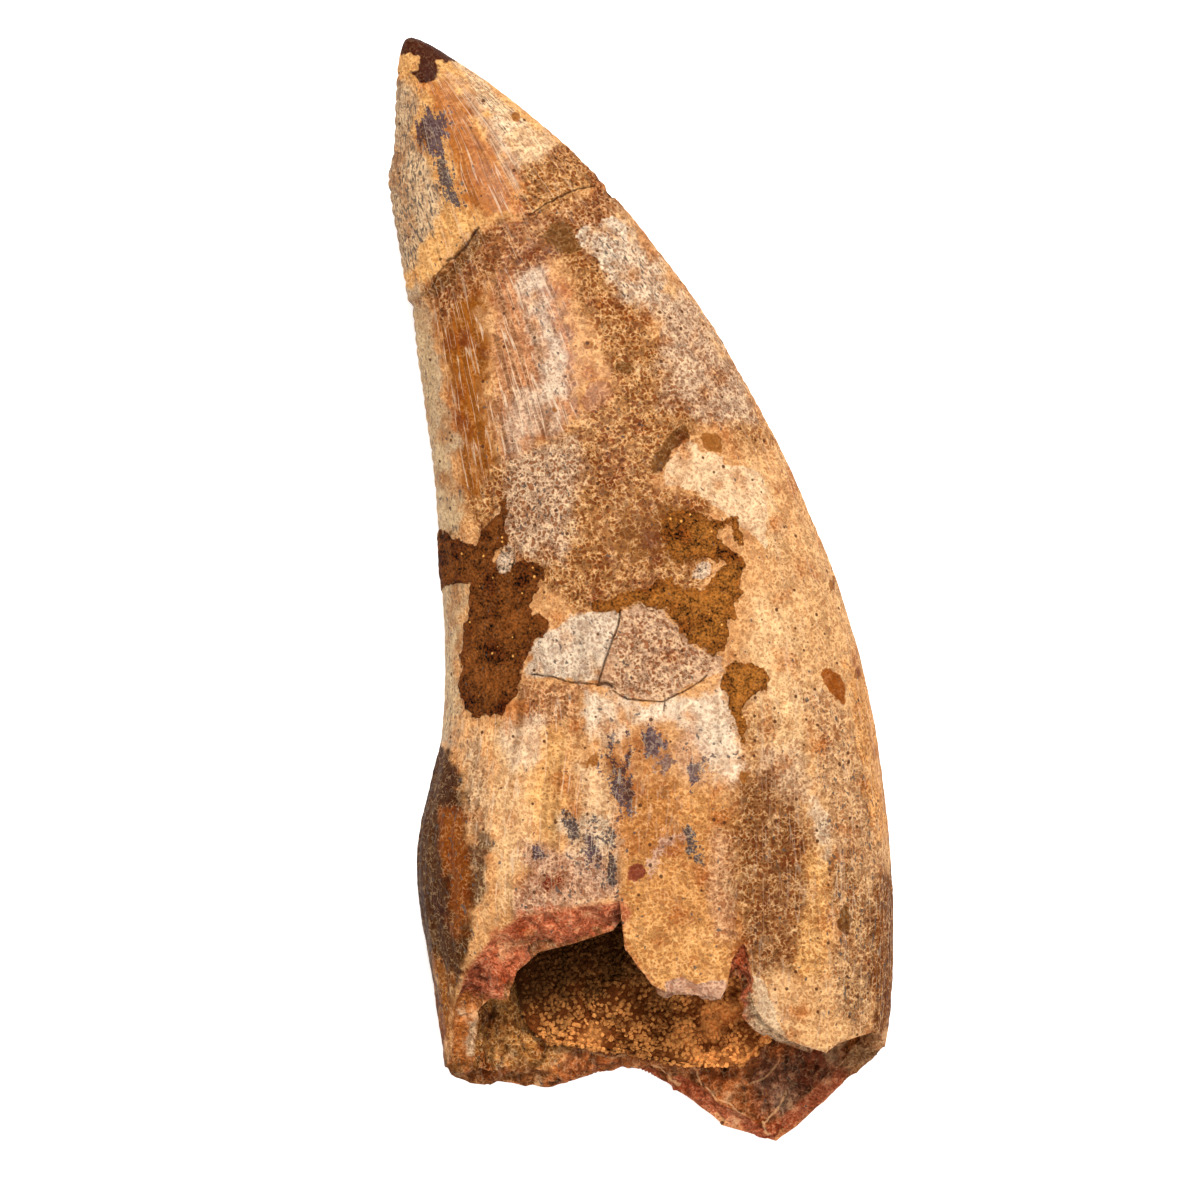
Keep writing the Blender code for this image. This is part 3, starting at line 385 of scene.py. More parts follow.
marks = {
    "bleed": [
        mark("purple", [(-10.9, 22.1), (-10.6, 22.6), (-10.2, 22.9), (-9.4, 23.0), (-9.2, 22.6),
            (-9.4, 21.3), (-9.7, 20.4), (-10.3, 20.9), (-10.8, 21.9)]),
        mark("slate", [(-9.9, 20.6), (-9.5, 20.9), (-8.8, 19.2), (-8.5, 18.4), (-9.2, 18.5)]),
        mark("purple", oval(-1.45, -7.25, 0.5, 0.8)),
        mark("purple", [(-1.6, -7.9), (-1.0, -7.9), (-0.9, -9.6), (-1.4, -10.0)]),
        mark("purple", [(0.1, -6.8), (0.6, -6.7), (1.1, -7.1), (1.2, -7.6), (0.6, -7.9), (0.1, -7.7)]),
        mark("greyPurple", [(0.6, -7.9), (1.3, -7.5), (1.7, -8.2), (1.2, -8.9), (0.7, -8.5)]),
        mark("purple", [(2.6, -8.2), (3.0, -8.2), (3.1, -9.0), (2.6, -9.2)]),
        mark("purple", [(-0.6, -7.0), (-0.4, -7.0), (-0.4, -10.7), (-0.65, -10.7)]),
        mark("slate", [(-3.7, -10.7), (-3.1, -10.7), (-2.8, -11.7), (-3.4, -11.8)]),
        mark("purple", [(-2.7, -11.6), (-2.1, -11.8), (-1.9, -13.2), (-2.5, -13.0)]),
        mark("purple", oval(-4.7, -12.6, 0.7, 0.5)),
        mark("deepRed", oval(-4.2, -13.9, 1.0, 0.6)),
        mark("slate", [(-2.1, -10.8), (-1.6, -11.2), (-1.2, -12.4), (-1.6, -12.2)]),
        mark("slate", [(-1.5, -12.8), (-1.0, -12.6), (-1.0, -14.0), (-1.6, -14.2)]),
        mark("mauve", [(0.3, -12.9), (0.7, -12.2), (1.3, -11.7), (2.0, -11.5), (2.2, -11.9), (1.4, -12.1),
            (0.8, -12.6), (0.7, -13.4), (0.4, -13.6)]),
        mark("slate", [(2.0, -11.4), (2.5, -11.6), (2.9, -12.4), (3.1, -12.9), (2.7, -12.9), (2.2, -12.1)]),
        mark("purple", [(-5.0, -8.6), (-2.6, -8.0), (-1.6, -11.0), (-3.2, -13.4), (-5.0, -12.0)], 0.0,
            "under"),
    ],
    "chip": [
        mark("chipCream", [(-3.1, 16.9), (-2.9, 17.4), (-2.4, 17.5), (-2.1, 17.4), (-1.8, 17.8),
            (-1.3, 18.0), (-0.9, 17.6), (-0.6, 17.0), (-0.8, 16.2), (-0.9, 15.4), (-1.2, 14.7),
            (-1.5, 15.2), (-2.0, 15.8), (-2.5, 16.2), (-2.9, 16.5)], 0.06),
        mark("chipPale", [(1.1, 5.4), (1.3, 6.0), (1.7, 6.6), (2.0, 7.0), (2.4, 7.2), (2.8, 7.0),
            (2.9, 6.6), (3.6, 6.5), (4.0, 6.3), (4.0, 5.9), (5.0, 5.9), (5.8, 5.5), (6.0, 4.8), (6.0, 2.0),
            (4.0, 3.6), (2.5, 4.8), (1.2, 5.0)], 0.04),
        mark("pinkTan", [(-2.9, 9.0), (-2.4, 9.9), (-1.6, 9.9), (-1.2, 9.4), (-1.6, 8.8), (-2.4, 8.4)],
            0.03),
        mark("chipCream", [(-5.6, -3.85), (-5.2, -3.2), (-4.9, -2.4), (-4.3, -2.0), (-3.3, -1.4),
            (-2.6, -1.1), (-0.95, -1.0), (-1.1, -1.7), (-1.6, -3.2), (-2.0, -4.3), (-3.8, -4.15),
            (-5.2, -4.1)], 0.05),
        mark("roughChip", [(-0.9, -1.0), (-0.1, -0.6), (0.9, -0.75), (1.2, -1.2), (1.9, -2.0), (2.6, -2.7),
            (3.2, -3.0), (3.9, -3.2), (4.0, -3.9), (3.1, -4.1), (2.4, -4.5), (1.7, -4.9), (1.1, -5.2),
            (0.3, -5.2), (-0.6, -5.0), (-1.2, -4.8), (-2.0, -4.4), (-1.6, -3.2), (-1.05, -1.7)], -0.08),
        mark("mauve", [(1.2, -18.6), (2.0, -18.4), (3.0, -18.7), (4.0, -18.5), (4.3, -19.4), (1.2, -19.3)],
            0.02),
        mark("whitish", [(5.2, -18.2), (5.9, -18.6), (6.3, -19.8), (6.6, -20.8), (7.2, -21.6),
            (5.2, -20.6)], 0.02),
        mark("chipCream", [(-6.4, -1.2), (-3.4, -0.6), (-2.6, -3.2), (-4.2, -5.0), (-6.8, -3.8)], 0.05,
            "under"),
        mark("lowerCream", [(-7.6, 13.0), (-5.0, 13.8), (-3.6, 11.0), (-5.4, 9.4), (-7.6, 10.6)], 0.04,
            "under"),
    ],
    "stain": [
        mark("tipBrown", [(-11.5, 25.6), (-11.7, 26.1), (-11.6, 26.9), (-9.8, 27), (-8.9, 25.5),
            (-9.9, 25.5), (-9.6, 25.1), (-9.9, 24.5), (-10.6, 24.4), (-11.0, 24.9), (-10.6, 25.1),
            (-10.6, 25.7), (-11.2, 25.9)]),
        mark("spotBrown", oval(-6.0, 22.8, 0.5, 0.38)),
        mark("darkPatch", [(-4.9, 16.9), (-4.4, 17.4), (-3.7, 17.8), (-3.3, 17.4), (-3.1, 16.9),
            (-2.8, 16.4), (-3.3, 16.1), (-3.8, 16.2), (-4.4, 16.6)]),
        mark("spotBrown", oval(-4.2, 8.6, 0.5, 0.35)),
        mark("spotBrown", oval(-2.5, 11.6, 0.5, 0.35)),
        mark("spotBrown", oval(-3.4, 9.3, 0.4, 0.25)),
        mark("darkPatch", oval(-0.8, 10.6, 0.9, 0.55)),
        mark("darkPatch", [(0.5, 5.6), (0.8, 6.6), (1.4, 7.4), (2.1, 7.9), (2.4, 7.3), (1.8, 6.8),
            (1.2, 6.1), (0.9, 5.4)]),
        mark("spotBrown", [(2.9, 6.7), (2.9, 7.5), (4.0, 7.4), (3.8, 6.6)]),
        mark("spotBrown", oval(-2.62, -8.25, 0.36, 0.36)),
        mark("spotBrown", oval(-2.2, -8.2, 0.42, 0.5)),
        mark("spotBrown", oval(4.95, -8.9, 0.45, 0.6)),
        mark("spotBrown", oval(1.1, -9.6, 0.35, 0.45)),
        mark("barkOrange", [(8.7, -3.9), (9.2, -3.7), (9.9, -4.6), (9.7, -5.6), (9.2, -5.1), (8.8, -4.5)]),
        mark("deepRed", oval(-0.15, -13.4, 0.85, 0.95)),
        mark("darkPatch", oval(9.75, -15.8, 0.6, 1.5)),
        mark("spotBrown", oval(10.4, -4.0, 0.3, 0.5)),
        mark("spotBrown", oval(9.3, 0.4, 0.3, 0.6)),
        mark("tipBrown", [(-11.9, 25.6), (-11.6, 26.9), (-9.8, 27), (-8.9, 25.3), (-10.4, 24.2)], 0.0,
            "under"),
        mark("darkPatch", oval(1.2, -14.0, 1.8, 1.2), 0.0, "under"),
    ],
    "crust": [
        mark("rust", leftCrust, 0.09),
        mark("crustHole", [(-6.9, 1.1), (-6.7, 1.8), (-6.2, 2.0), (-5.9, 1.5), (-6.1, 0.7), (-6.6, 0.7)],
            -0.04),
        mark("crustHole", [(-6.8, -0.6), (-6.4, -0.65), (-6.0, -0.7), (-5.9, -1.0), (-6.5, -1.1),
            (-6.8, -0.9)], -0.04),
        mark("amber", rightCrust, 0.07),
        mark("darkPatch", [(1.6, 2.2), (1.5, 3.2), (1.8, 3.6), (2.4, 3.5), (2.2, 2.8), (1.9, 2.2)], 0.07),
        mark("darkPatch", [(1.4, -0.5), (2.4, -0.6), (2.9, -1.4), (2.6, -2.4), (1.9, -1.9), (1.5, -1.3)],
            0.07),
        mark("darkPatch", [(3.0, -2.6), (3.7, -2.4), (4.2, -1.6), (4.2, -2.2), (3.6, -3.1)], 0.07),
        mark("crustHole", oval(2.8, 2.0, 0.4, 0.22), 0.06),
        mark("crustHole", [(2.4, 0.6), (2.7, 1.2), (3.2, 1.5), (3.4, 1.1), (3.0, 0.6)], 0.02),
        mark("amber", [(4.1, 3.4), (4.4, 3.45), (4.7, 3.0), (4.9, 2.6), (4.7, 2.25), (4.4, 2.5)], 0.07),
        mark("amber", [(4.0, -3.6), (4.5, -3.4), (4.9, -3.55), (5.9, -3.5), (6.2, -4.2), (6.1, -4.8),
            (5.5, -5.0), (5.0, -5.3), (4.75, -5.9), (4.95, -7.2), (4.7, -7.1), (4.4, -6.2), (4.1, -5.3),
            (3.95, -4.6)], 0.06),
        mark("rust", [(-3.0, 7.6), (-1.2, 8.2), (0.8, 7.4), (2.2, 5.6), (1.6, 3.4), (0.2, 2.6), (-0.6, 4.0),
            (-2.2, 4.6), (-3.4, 6.0)], 0.1, "under"),
        mark("amber", [(5.0, -4.6), (6.8, -5.2), (7.4, -7.6), (6.2, -9.4), (4.8, -8.2), (4.4, -6.2)], 0.1,
            "under"),
    ],
}
placedMarks = [(layer, each) for layer, group in marks.items() for each in group]

# Cracks, each with its width and depth. The tip side of the break line stands proud of the root side.
breakLine = [
    (-1.2, 19.5), (-1.9, 19.4), (-3.0, 19.2), (-3.9, 18.8), (-5.0, 18.0), (-5.6, 17.9), (-7.0, 17.9),
    (-7.7, 17.3), (-8.1, 16.7), (-8.9, 16.0), (-9.6, 15.3), (-10.0, 14.4), (-11.0, 13.9),
]
cracks = [
    {"line": [(-2.2, 19.42), (-3.2, 19.2), (-3.9, 18.85), (-4.5, 18.5), (-5.3, 17.95)], "width": 0.05,
        "depth": 0.06},
    {"line": [(-7.75, 17.35), (-8.3, 16.6), (-8.95, 15.9), (-9.3, 15.8)], "width": 0.09, "depth": 0.10},
    {"line": [(-9.0, 15.9), (-9.7, 15.2), (-10.0, 14.5)], "width": 0.03, "depth": 0.04},
    {"line": [(-0.95, -1.0), (-1.0, -1.6), (-1.3, -2.3), (-1.7, -3.45), (-2.0, -4.4)], "width": 0.05,
        "depth": 0.12},
    {"line": [(-5.2, -4.05), (-4.4, -4.1), (-3.5, -4.35), (-2.6, -4.48), (-2.0, -4.5)], "width": 0.045,
        "depth": 0.1},
    {"line": [(-2.05, -4.52), (-1.65, -4.46), (-1.35, -4.6)], "width": 0.13, "depth": 0.18},
    {"line": [(-1.3, -4.8), (-0.6, -5.15), (0.3, -5.28), (1.1, -5.28), (1.7, -4.95), (2.2, -4.7),
        (2.9, -4.35), (3.2, -4.05)], "width": 0.05, "depth": 0.08},
    {"line": [(1.15, -5.2), (1.1, -5.75)], "width": 0.04, "depth": 0.05},
]

# Pale mineral lines on the wall of the cavity and in the fracture
veins = [
    [(0.7, -22.9), (1.2, -23.3), (1.9, -24.0)], [(2.3, -22.8), (2.8, -23.3), (3.0, -24.0)],
    [(3.2, -24.0), (3.7, -24.6), (4.3, -24.8), (4.9, -25.5)], [(6.0, -25.8), (6.6, -25.1), (7.0, -24.2)],
    [(5.9, -25.7), (6.1, -26.1), (6.3, -26.2)], [(5.2, -24.0), (6.2, -23.4), (6.8, -22.7)],
    [(-2.6, -22.2), (-1.6, -22.6), (-0.6, -22.5)],
]


def veinDistance(x, y, side):
    nearest = np.full(len(x), 1.2)
    low = side < 0
    for line in veins:
        nearest[low] = np.minimum(nearest[low], toLine(x[low], y[low], line)[0])
    return nearest


def crackDistance(x, y):
    # distance past the side of the nearest crack, and how deep the surface is cut there
    nearest = np.full(len(x), 9.0)
    cut = np.zeros(len(x))
    for crack in cracks:
        away, _ = toLine(x, y, crack["line"])
        nearest = np.minimum(nearest, away - crack["width"] / 2)
        cut = np.maximum(cut, crack["depth"] * (1 - ease(0.3 * crack["width"], 1.3 * crack["width"], away)))
    return nearest, cut


def markDistances(x, y, side):
    found = []
    for _, each in placedMarks:
        outline = np.array(each["outline"])
        (lowX, lowY), (highX, highY) = outline.min(axis=0) - 1.2, outline.max(axis=0) + 1.2
        near = (x > lowX) & (x < highX) & (y > lowY) & (y < highY)
        near &= side > 0 if each["side"] == "upper" else side <= 0
        distance = np.full(len(x), -1.2)
        distance[near] = insideBy(x[near], y[near], each["outline"])
        found.append(np.clip(distance, -1.2, 1.2))
    return found


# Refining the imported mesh: long edges are halved on a curve that follows the surface
def partNormals(points, faces, part):
    # one normal for each point in each part, so that a lip stays sharp
    across = np.cross(points[faces[:, 1]] - points[faces[:, 0]], points[faces[:, 2]] - points[faces[:, 0]])
    slot = (faces * 3 + part[:, None]).ravel()
    total = np.stack([
        np.bincount(slot, np.repeat(across[:, axis], 3), 3 * len(points)) for axis in range(3)
    ], axis=1)
    return total / np.maximum(np.linalg.norm(total, axis=1, keepdims=True), 1e-12)


def edgeLimits(points, faces, part):
    share, side = sectionAt(points)
    x, y = points[:, 0], points[:, 1]
    skinLimit = np.where(side > toothShape["upperFrom"], toothShape["upperEdge"], toothShape["underEdge"])
    nearMark = np.full(len(points), 9.0)
    for (_, each), distance in zip(placedMarks, markDistances(x, y, side)):
        if each["lift"]:
            nearMark = np.minimum(nearMark, np.abs(distance))
    skinLimit = np.where((nearMark < 0.2) & (side > 0), toothShape["markEdge"], skinLimit)
    nearCrack, _ = crackDistance(x, y)
    skinLimit = np.where((nearCrack < 0.35) & (side > 0), toothShape["markEdge"], skinLimit)
    skinLimit = np.where((nearCrack < 0.1) & (side > 0), toothShape["crackEdge"], skinLimit)
    halfWidth = np.interp(y, outlineY, leadingX - trailingX) / 2
    atEdge = (halfWidth * (1 - np.abs(share)) < 0.3) & (np.abs(side) < 0.8) & (y > -12)
    skinLimit = np.where(atEdge, np.minimum(toothShape["notchEdge"], skinLimit), skinLimit)
    wallSeen = (side < 0) & (y < toothShape["visibleWallTop"])
    wallLimit = np.where(wallSeen, toothShape["wallEdge"], toothShape["hiddenEdge"])
    nearVein = veinDistance(x, y, side) < 0.25
    wallLimit = np.where(nearVein, toothShape["veinEdge"], wallLimit)
    rimLimit = np.where(nearVein, toothShape["veinEdge"], toothShape["rimEdge"])
    byPart = np.stack([skinLimit, rimLimit, wallLimit])
    return byPart[part[:, None], faces].min(axis=1)


def refineOnce(points, faces, part, rimShare, scaleNow):
    count = len(points)
    sides = np.stack([faces, np.roll(faces, -1, axis=1)], axis=2).reshape(-1, 2)
    low, high = sides.min(axis=1), sides.max(axis=1)
    keys, owner = np.unique(low.astype(np.int64) * count + high, return_inverse=True)
    start, end = keys // count, keys % count
    length = np.linalg.norm(points[end] - points[start], axis=1)
    limit = np.full(len(keys), 9.0)
    np.minimum.at(limit, owner, np.repeat(edgeLimits(points, faces, part), 3))
    lowPart, highPart = np.full(len(keys), 9), np.full(len(keys), -1)
    np.minimum.at(lowPart, owner, np.repeat(part, 3))
    np.maximum.at(highPart, owner, np.repeat(part, 3))
    split = length > np.maximum(limit, scaleNow)
    normals = partNormals(points, faces, part)
    n1, n2 = normals[3 * start + lowPart], normals[3 * end + lowPart]
    step = points[end] - points[start]
    bend = (np.sum(step * n1, axis=1)[:, None] * n1 - np.sum(step * n2, axis=1)[:, None] * n2) / 8
    bend[(lowPart != highPart) | (lowPart == rim)] = 0.0
    middles = (points[start] + points[end]) / 2 - bend
    middle = np.full(len(keys), -1)
    middle[split] = count + np.arange(split.sum())
    points = np.vstack([points, middles[split]])
    rimShare = np.concatenate([rimShare, (rimShare[start] + rimShare[end])[split] / 2])
    # turn each triangle so that its cut sides come first, then cut it
    mids = middle[owner].reshape(-1, 3)
    cut = mids >= 0
    turn = np.where(cut[:, 0] & ~(cut[:, 2] & ~cut[:, 1]), 0, np.where(cut[:, 1] & ~cut[:, 0], 1, 2))
    turn = np.where(cut.all(axis=1) | ~cut.any(axis=1), 0, turn)
    order = (np.arange(3)[None, :] + turn[:, None]) % 3
    a, b, c = np.take_along_axis(faces, order, axis=1).T
    ab, bc, ca = np.take_along_axis(mids, order, axis=1).T
    cuts = cut.sum(axis=1)
    none, one, two, three = (cuts == k for k in range(4))
    reach = np.linalg.norm(points[a] - points[bc], axis=1) < np.linalg.norm(points[ab] - points[c], axis=1)
    flat, steep = two & reach, two & ~reach
    pieces = [
        (none, (a, b, c)), (one, (a, ab, c)), (one, (ab, b, c)), (two, (ab, b, bc)),
        (flat, (a, ab, bc)), (flat, (a, bc, c)), (steep, (a, ab, c)), (steep, (ab, bc, c)),
        (three, (a, ab, ca)), (three, (ab, b, bc)), (three, (ca, bc, c)), (three, (ab, bc, ca)),
    ]
    faces = np.vstack([np.stack(corners, axis=1)[chosen] for chosen, corners in pieces])
    part = np.concatenate([part[chosen] for chosen, _ in pieces])
    return points, faces, part, rimShare


def refinedTooth():
    points, faces, part, rimShare = packedPoints, packedFaces, packedPart, packedRimShare
    for k in range(toothShape["rounds"]):
        scaleNow = 1.0 / 2 ** k if k < toothShape["rounds"] - 1 else 0.0
        points, faces, part, rimShare = refineOnce(points, faces, part, rimShare, scaleNow)
    print(f"refined tooth: {len(points)} points, {len(faces)} triangles")
    return points, faces, part, rimShare


toothPoints, toothFaces, toothPart, toothRimShare = refinedTooth()


def pointNormals(points, faces):
    across = np.cross(points[faces[:, 1]] - points[faces[:, 0]], points[faces[:, 2]] - points[faces[:, 0]])
    total = np.stack([
        np.bincount(faces.ravel(), np.repeat(across[:, axis], 3), len(points)) for axis in range(3)
    ], axis=1)
    return total / np.maximum(np.linalg.norm(total, axis=1, keepdims=True), 1e-12)


def partShares(faces, part, count):
    # how much of each point's surroundings is skin, rim and wall
    shares = np.stack([np.bincount(faces[part == k].ravel(), minlength=count) for k in range(3)])
    return shares / np.maximum(shares.sum(axis=0), 1)


# The relief of each surface, in mm
relief = {
    "skinWaves": 0.06,
    "skinGrain": 0.02,
    "grit": 0.05,
    "bark": 0.12,
    "breakStep": 0.2,
    "breakFade": 2.2,
    "valley": 0.3,
    "fracture": 0.5,
    "fractureChips": 0.22,
    "deepestChip": 0.28,
    "proudestChip": 0.2,
    "wall": 0.26,
    "pit": 0.28,
    "sandyWall": 0.12,
}
# Strength of two broad light and dark patterns: on the cavity's wall, and over the whole tooth
tones = {"sandy": 1.1, "cloud": 0.17}
# How far each kind of border wanders, in mm
borderWobble = {"zone": 0.45, "zoneFine": 0.32, "bleed": 0.3, "chip": 0.12, "stain": 0.16, "crust": 0.24}


def runPoints(points):
    # points as if the tooth were rolled out: x and z go round it, and y runs along it
    share, height = sectionAt(points)
    face = np.where(height >= 0, 1.0, -1.0)
    return np.stack([8 * share, 8 * face * np.sqrt(1 - share * share), points[:, 1]], axis=1)


def paintedFields(points, shares, run):
    side = sectionAt(points)[1]
    x, y = points[:, 0], points[:, 1]
    wobble = borderWobble["zone"] * fractal(points, 0.8, 2, 5.0)
    wobble += borderWobble["zoneFine"] * fractal(points, 2.2, 3, 8.0)
    ground = np.tile(linear("tan"), (len(points), 1))
    finish = {"grit": 0.3, "streak": 0.1, "speck": 0.05, "pits": 0.4, "gloss": 0.35}
    finish = {name: np.full(len(points), value) for name, value in finish.items()}
    ground += shares[rim][:, None] * (linear("redDentine") - ground)
    ground += shares[wall][:, None] * (linear("cavityRed") - ground)
    sandy = fractal(points, 2.9, 2, 41.0)
    bySurface = {"outer": shares[skin], "rim": shares[rim], "wall": shares[wall]}
    for surface, each in ((surface, each) for surface, group in zones.items() for each in group):
        soft = 0.7 * each["soft"]
        inside = ease(-soft, soft, insideBy(x, y, each["outline"]) + wobble)
        weight = inside * bySurface[surface] * each["strength"]
        ground += weight[:, None] * (linear(each["tint"]) - ground)
        for name, value in each["finish"].items():
            finish[name] += weight * (value - finish[name])
    ground *= 1 + tones["sandy"] * (sandy * shares[wall])[:, None]
    edges = {name: np.full(len(points), -1.2) for name in marks}
    coats = {name: np.tile(linear("tan"), (len(points), 1)) for name in marks}
    lift = np.zeros(len(points))
    spread = fractal(run * (1.0, 1.0, 0.35), 1.2, 3, 23.0)
    ragged = fractal(points, 1.6, 3, 21.0)
    for (layer, each), distance in zip(placedMarks, markDistances(x, y, side)):
        distance = distance + borderWobble[layer] * (spread if layer == "bleed" else ragged)
        if each["side"] == "under":
            distance[shares[skin] < 0.5] = -1.2
        closer = distance > edges[layer]
        coats[layer][closer] = linear(each["tint"])
        edges[layer] = np.maximum(edges[layer], distance)
        lift = np.where(distance > -0.12, each["lift"] * ease(-0.12, 0.06, distance), lift)
    crackGap, crackCut = crackDistance(x + 0.05 * ragged, y + 0.08 * spread)
    return {
        "ground": np.maximum(ground, 0.0), "sandy": sandy, "finish": finish,
        "edges": edges, "coats": coats, "lift": lift,
        "crackGap": np.where(side > 0, crackGap, 1.0), "crackCut": np.where(side > 0, crackCut, 0.0),
        "veinGap": np.where(shares[skin] < 0.5, veinDistance(x + 0.1 * ragged, y + 0.1 * spread, side), 1.2),
    }


def shapeTooth(points, faces, part, rimShare):
    normals = pointNormals(points, faces)
    shares = partShares(faces, part, len(points))
    run = runPoints(points)
    fields = paintedFields(points, shares, run)
    x, y = points[:, 0], points[:, 1]
    side = sectionAt(points)[1]
    upper = ease(-0.3, 0.6, side)
    height = relief["skinWaves"] * fractal(points, 0.22, 2)
    height += relief["skinGrain"] * fractal(points, 1.1, 3, 9.0)
    height += relief["grit"] * fields["finish"]["grit"] * fractal(points, 2.6, 2, 3.0)
    barkShare = ease(0.6, -0.6, x + 8.4) * ease(-6.6, -8.0, y)
    height += relief["bark"] * barkShare * fractal(run * (1.0, 1.0, 0.16), 1.1, 3, 4.0)
    height += fields["lift"] * (1 + 0.5 * fractal(points, 1.6, 2, 7.0)) - fields["crackCut"]
    lineX, lineY = np.array(breakLine[::-1]).T
    below = np.interp(x, lineX, lineY) - y
    step = ease(-0.1, 0.3, below) * np.exp(-np.maximum(below, 0) / relief["breakFade"])
    height -= relief["breakStep"] * step * (x < lineX[-1])
    height -= relief["valley"] * upper * np.exp(-((x - 5.6) / 1.1) ** 2) * ease(-8.5, -12.5, y)
    height -= relief["pit"] * upper * ease(0.5, 0.15, np.hypot(x + 0.15, y + 13.4))
    skinMove = height * shares[skin]
    rough = fractal(points, 0.75, 4, 11.0)
    chips = np.abs(fractal(points * (1.0, 1.6, 1.6), 1.3, 2, 13.0))
    inner = ease(0.0, 0.25, rimShare) * ease(1.0, 0.85, rimShare) + 0.3
    rimMove = (relief["fracture"] * rough - relief["fractureChips"] * chips) * inner * shares[rim]
    rimMove = np.clip(rimMove, -relief["deepestChip"], relief["proudestChip"])
    wallRough = relief["wall"] * fractal(points, 0.8, 4, 15.0)
    wallMove = (wallRough + relief["sandyWall"] * fields["sandy"]) * shares[wall]
    moved = points + normals * (skinMove + rimMove + wallMove)[:, None]
    low, high = (np.array(corner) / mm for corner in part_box("tooth"))
    return np.clip(moved, low, high), fields, run, shares


def writeField(mesh, name, values):
    values = np.asarray(values, float)
    if values.ndim == 1:
        mesh.attributes.new(name, "FLOAT", "POINT").data.foreach_set("value", values)
    elif name.endswith("Way"):
        mesh.attributes.new(name, "FLOAT_VECTOR", "POINT").data.foreach_set("vector", values.ravel())
    else:
        rgba = np.hstack([values, np.ones((len(values), 1))])
        mesh.attributes.new(name, "FLOAT_COLOR", "POINT").data.foreach_set("color", rgba.ravel())


def meshFrom(name, points, faces):
    mesh = bpy.data.meshes.new(name)
    mesh.from_pydata((points * mm).tolist(), [], faces.tolist())
    mesh.validate()
    mesh.shade_smooth()
    made = bpy.data.objects.new(name, mesh)
    bpy.context.scene.collection.objects.link(made)
    return made


# Building node trees, for shaders and for geometry
def plug(tree, socket, value):
    if isinstance(value, bpy.types.NodeSocket):
        tree.links.new(value, socket)
    elif isinstance(value, (tuple, np.ndarray)) and socket.type == "RGBA":
        socket.default_value = (*value, 1.0)
    else:
        socket.default_value = value


def add(tree, kind, inputs=None, **options):
    made = tree.nodes.new(kind)
    for option, value in options.items():
        setattr(made, option, value)
    for socket, value in (inputs or {}).items():
        plug(tree, made.inputs[socket], value)
    return made


def calc(tree, operation, a, b=0.0, c=0.0):
    return add(tree, "ShaderNodeMath", {0: a, 1: b, 2: c}, operation=operation).outputs[0]


def times(tree, a, b):
    return calc(tree, "MULTIPLY", a, b)


def timesPlus(tree, a, b, c):
    return calc(tree, "MULTIPLY_ADD", a, b, c)


def minus(tree, a, b):
    return calc(tree, "SUBTRACT", a, b)


def most(tree, a, b):
    return calc(tree, "MAXIMUM", a, b)


def vector(tree, operation, a, b):
    socket = 3 if operation == "SCALE" else 1
    return add(tree, "ShaderNodeVectorMath", {0: a, socket: b}, operation=operation).outputs[0]


def modifierTree(name, inputs, build):
    tree = bpy.data.node_groups.new(name, "GeometryNodeTree")
    for label, kind in (("Geometry", "Geometry"), *inputs):
        tree.interface.new_socket(label, in_out="INPUT", socket_type="NodeSocket" + kind)
    tree.interface.new_socket("Geometry", in_out="OUTPUT", socket_type="NodeSocketGeometry")
    given = tree.nodes.new("NodeGroupInput").outputs
    made = add(tree, "GeometryNodeRealizeInstances", {0: build(tree, given)}).outputs[0]
    made = add(tree, "GeometryNodeSetMaterial", {"Geometry": made, "Material": given["Material"]}).outputs[0]
    tree.links.new(made, tree.nodes.new("NodeGroupOutput").inputs[0])
    return tree


def applyTree(piece, tree, values):
    modifier = piece.modifiers.new(tree.name, "NODES")
    modifier.node_group = tree
    for label, value in values.items():
        modifier[tree.interface.items_tree[label].identifier] = value
    depsgraph = bpy.context.evaluated_depsgraph_get()
    plain = bpy.data.meshes.new_from_object(
        piece.evaluated_get(depsgraph), preserve_all_data_layers=True, depsgraph=depsgraph)
    before = piece.data
    piece.modifiers.clear()
    piece.data = plain
    plain.name = piece.name
    bpy.data.meshes.remove(before)


def named(tree, name, kind="FLOAT"):
    return add(tree, "GeometryNodeInputNamedAttribute", {"Name": name}, data_type=kind).outputs[0]


# The fine notches of the cutting edges. They are cut inwards, so the outline stays where it is.
notches = {
    "pitch": 0.63,
    "depth": 0.085,
    "band": 0.34,         # how far the notches reach in from the edge
    "leadingShare": 0.45,  # depth on the leading edge beside that on the trailing one
    "wornBelow": (-4.0, 16.0),
}


def edgeFields(points):
    # closeness to a cutting edge, the way along it and the way out of the tooth
    x, y = points[:, 0], points[:, 1]
    near = np.zeros(len(points))
    along = np.zeros(len(points))
    way = np.zeros((len(points), 3))
    bothEdges = ((trailingX, trailingZ, -1, 1.0), (leadingX, leadingZ, 1, notches["leadingShare"]))
    for edgeX, edgeZ, outward, share in bothEdges:
        steps = np.hypot(np.diff(edgeX), np.diff(outlineY))
        length = np.concatenate(([0.0], np.cumsum(steps)))
        slope = np.interp(y, outlineY, np.gradient(edgeX, outlineY))
        normal = np.stack([outward / np.hypot(1, slope), -outward * slope / np.hypot(1, slope)], axis=1)
        away = np.abs(np.interp(y, outlineY, edgeX) - x) / np.hypot(1, slope)
        away = np.hypot(away, 0.6 * (points[:, 2] - np.interp(y, outlineY, edgeZ)))
        here = share * ease(notches["band"], 0.0, away)
        closer = here > near
        near[closer] = here[closer]
        along[closer] = np.interp(y, outlineY, length)[closer]
        way[closer, :2] = normal[closer]
    return near * ease(26.3, 25.2, y) * (0.25 + 0.75 * ease(*notches["wornBelow"], y)) * (y > -14), along, way


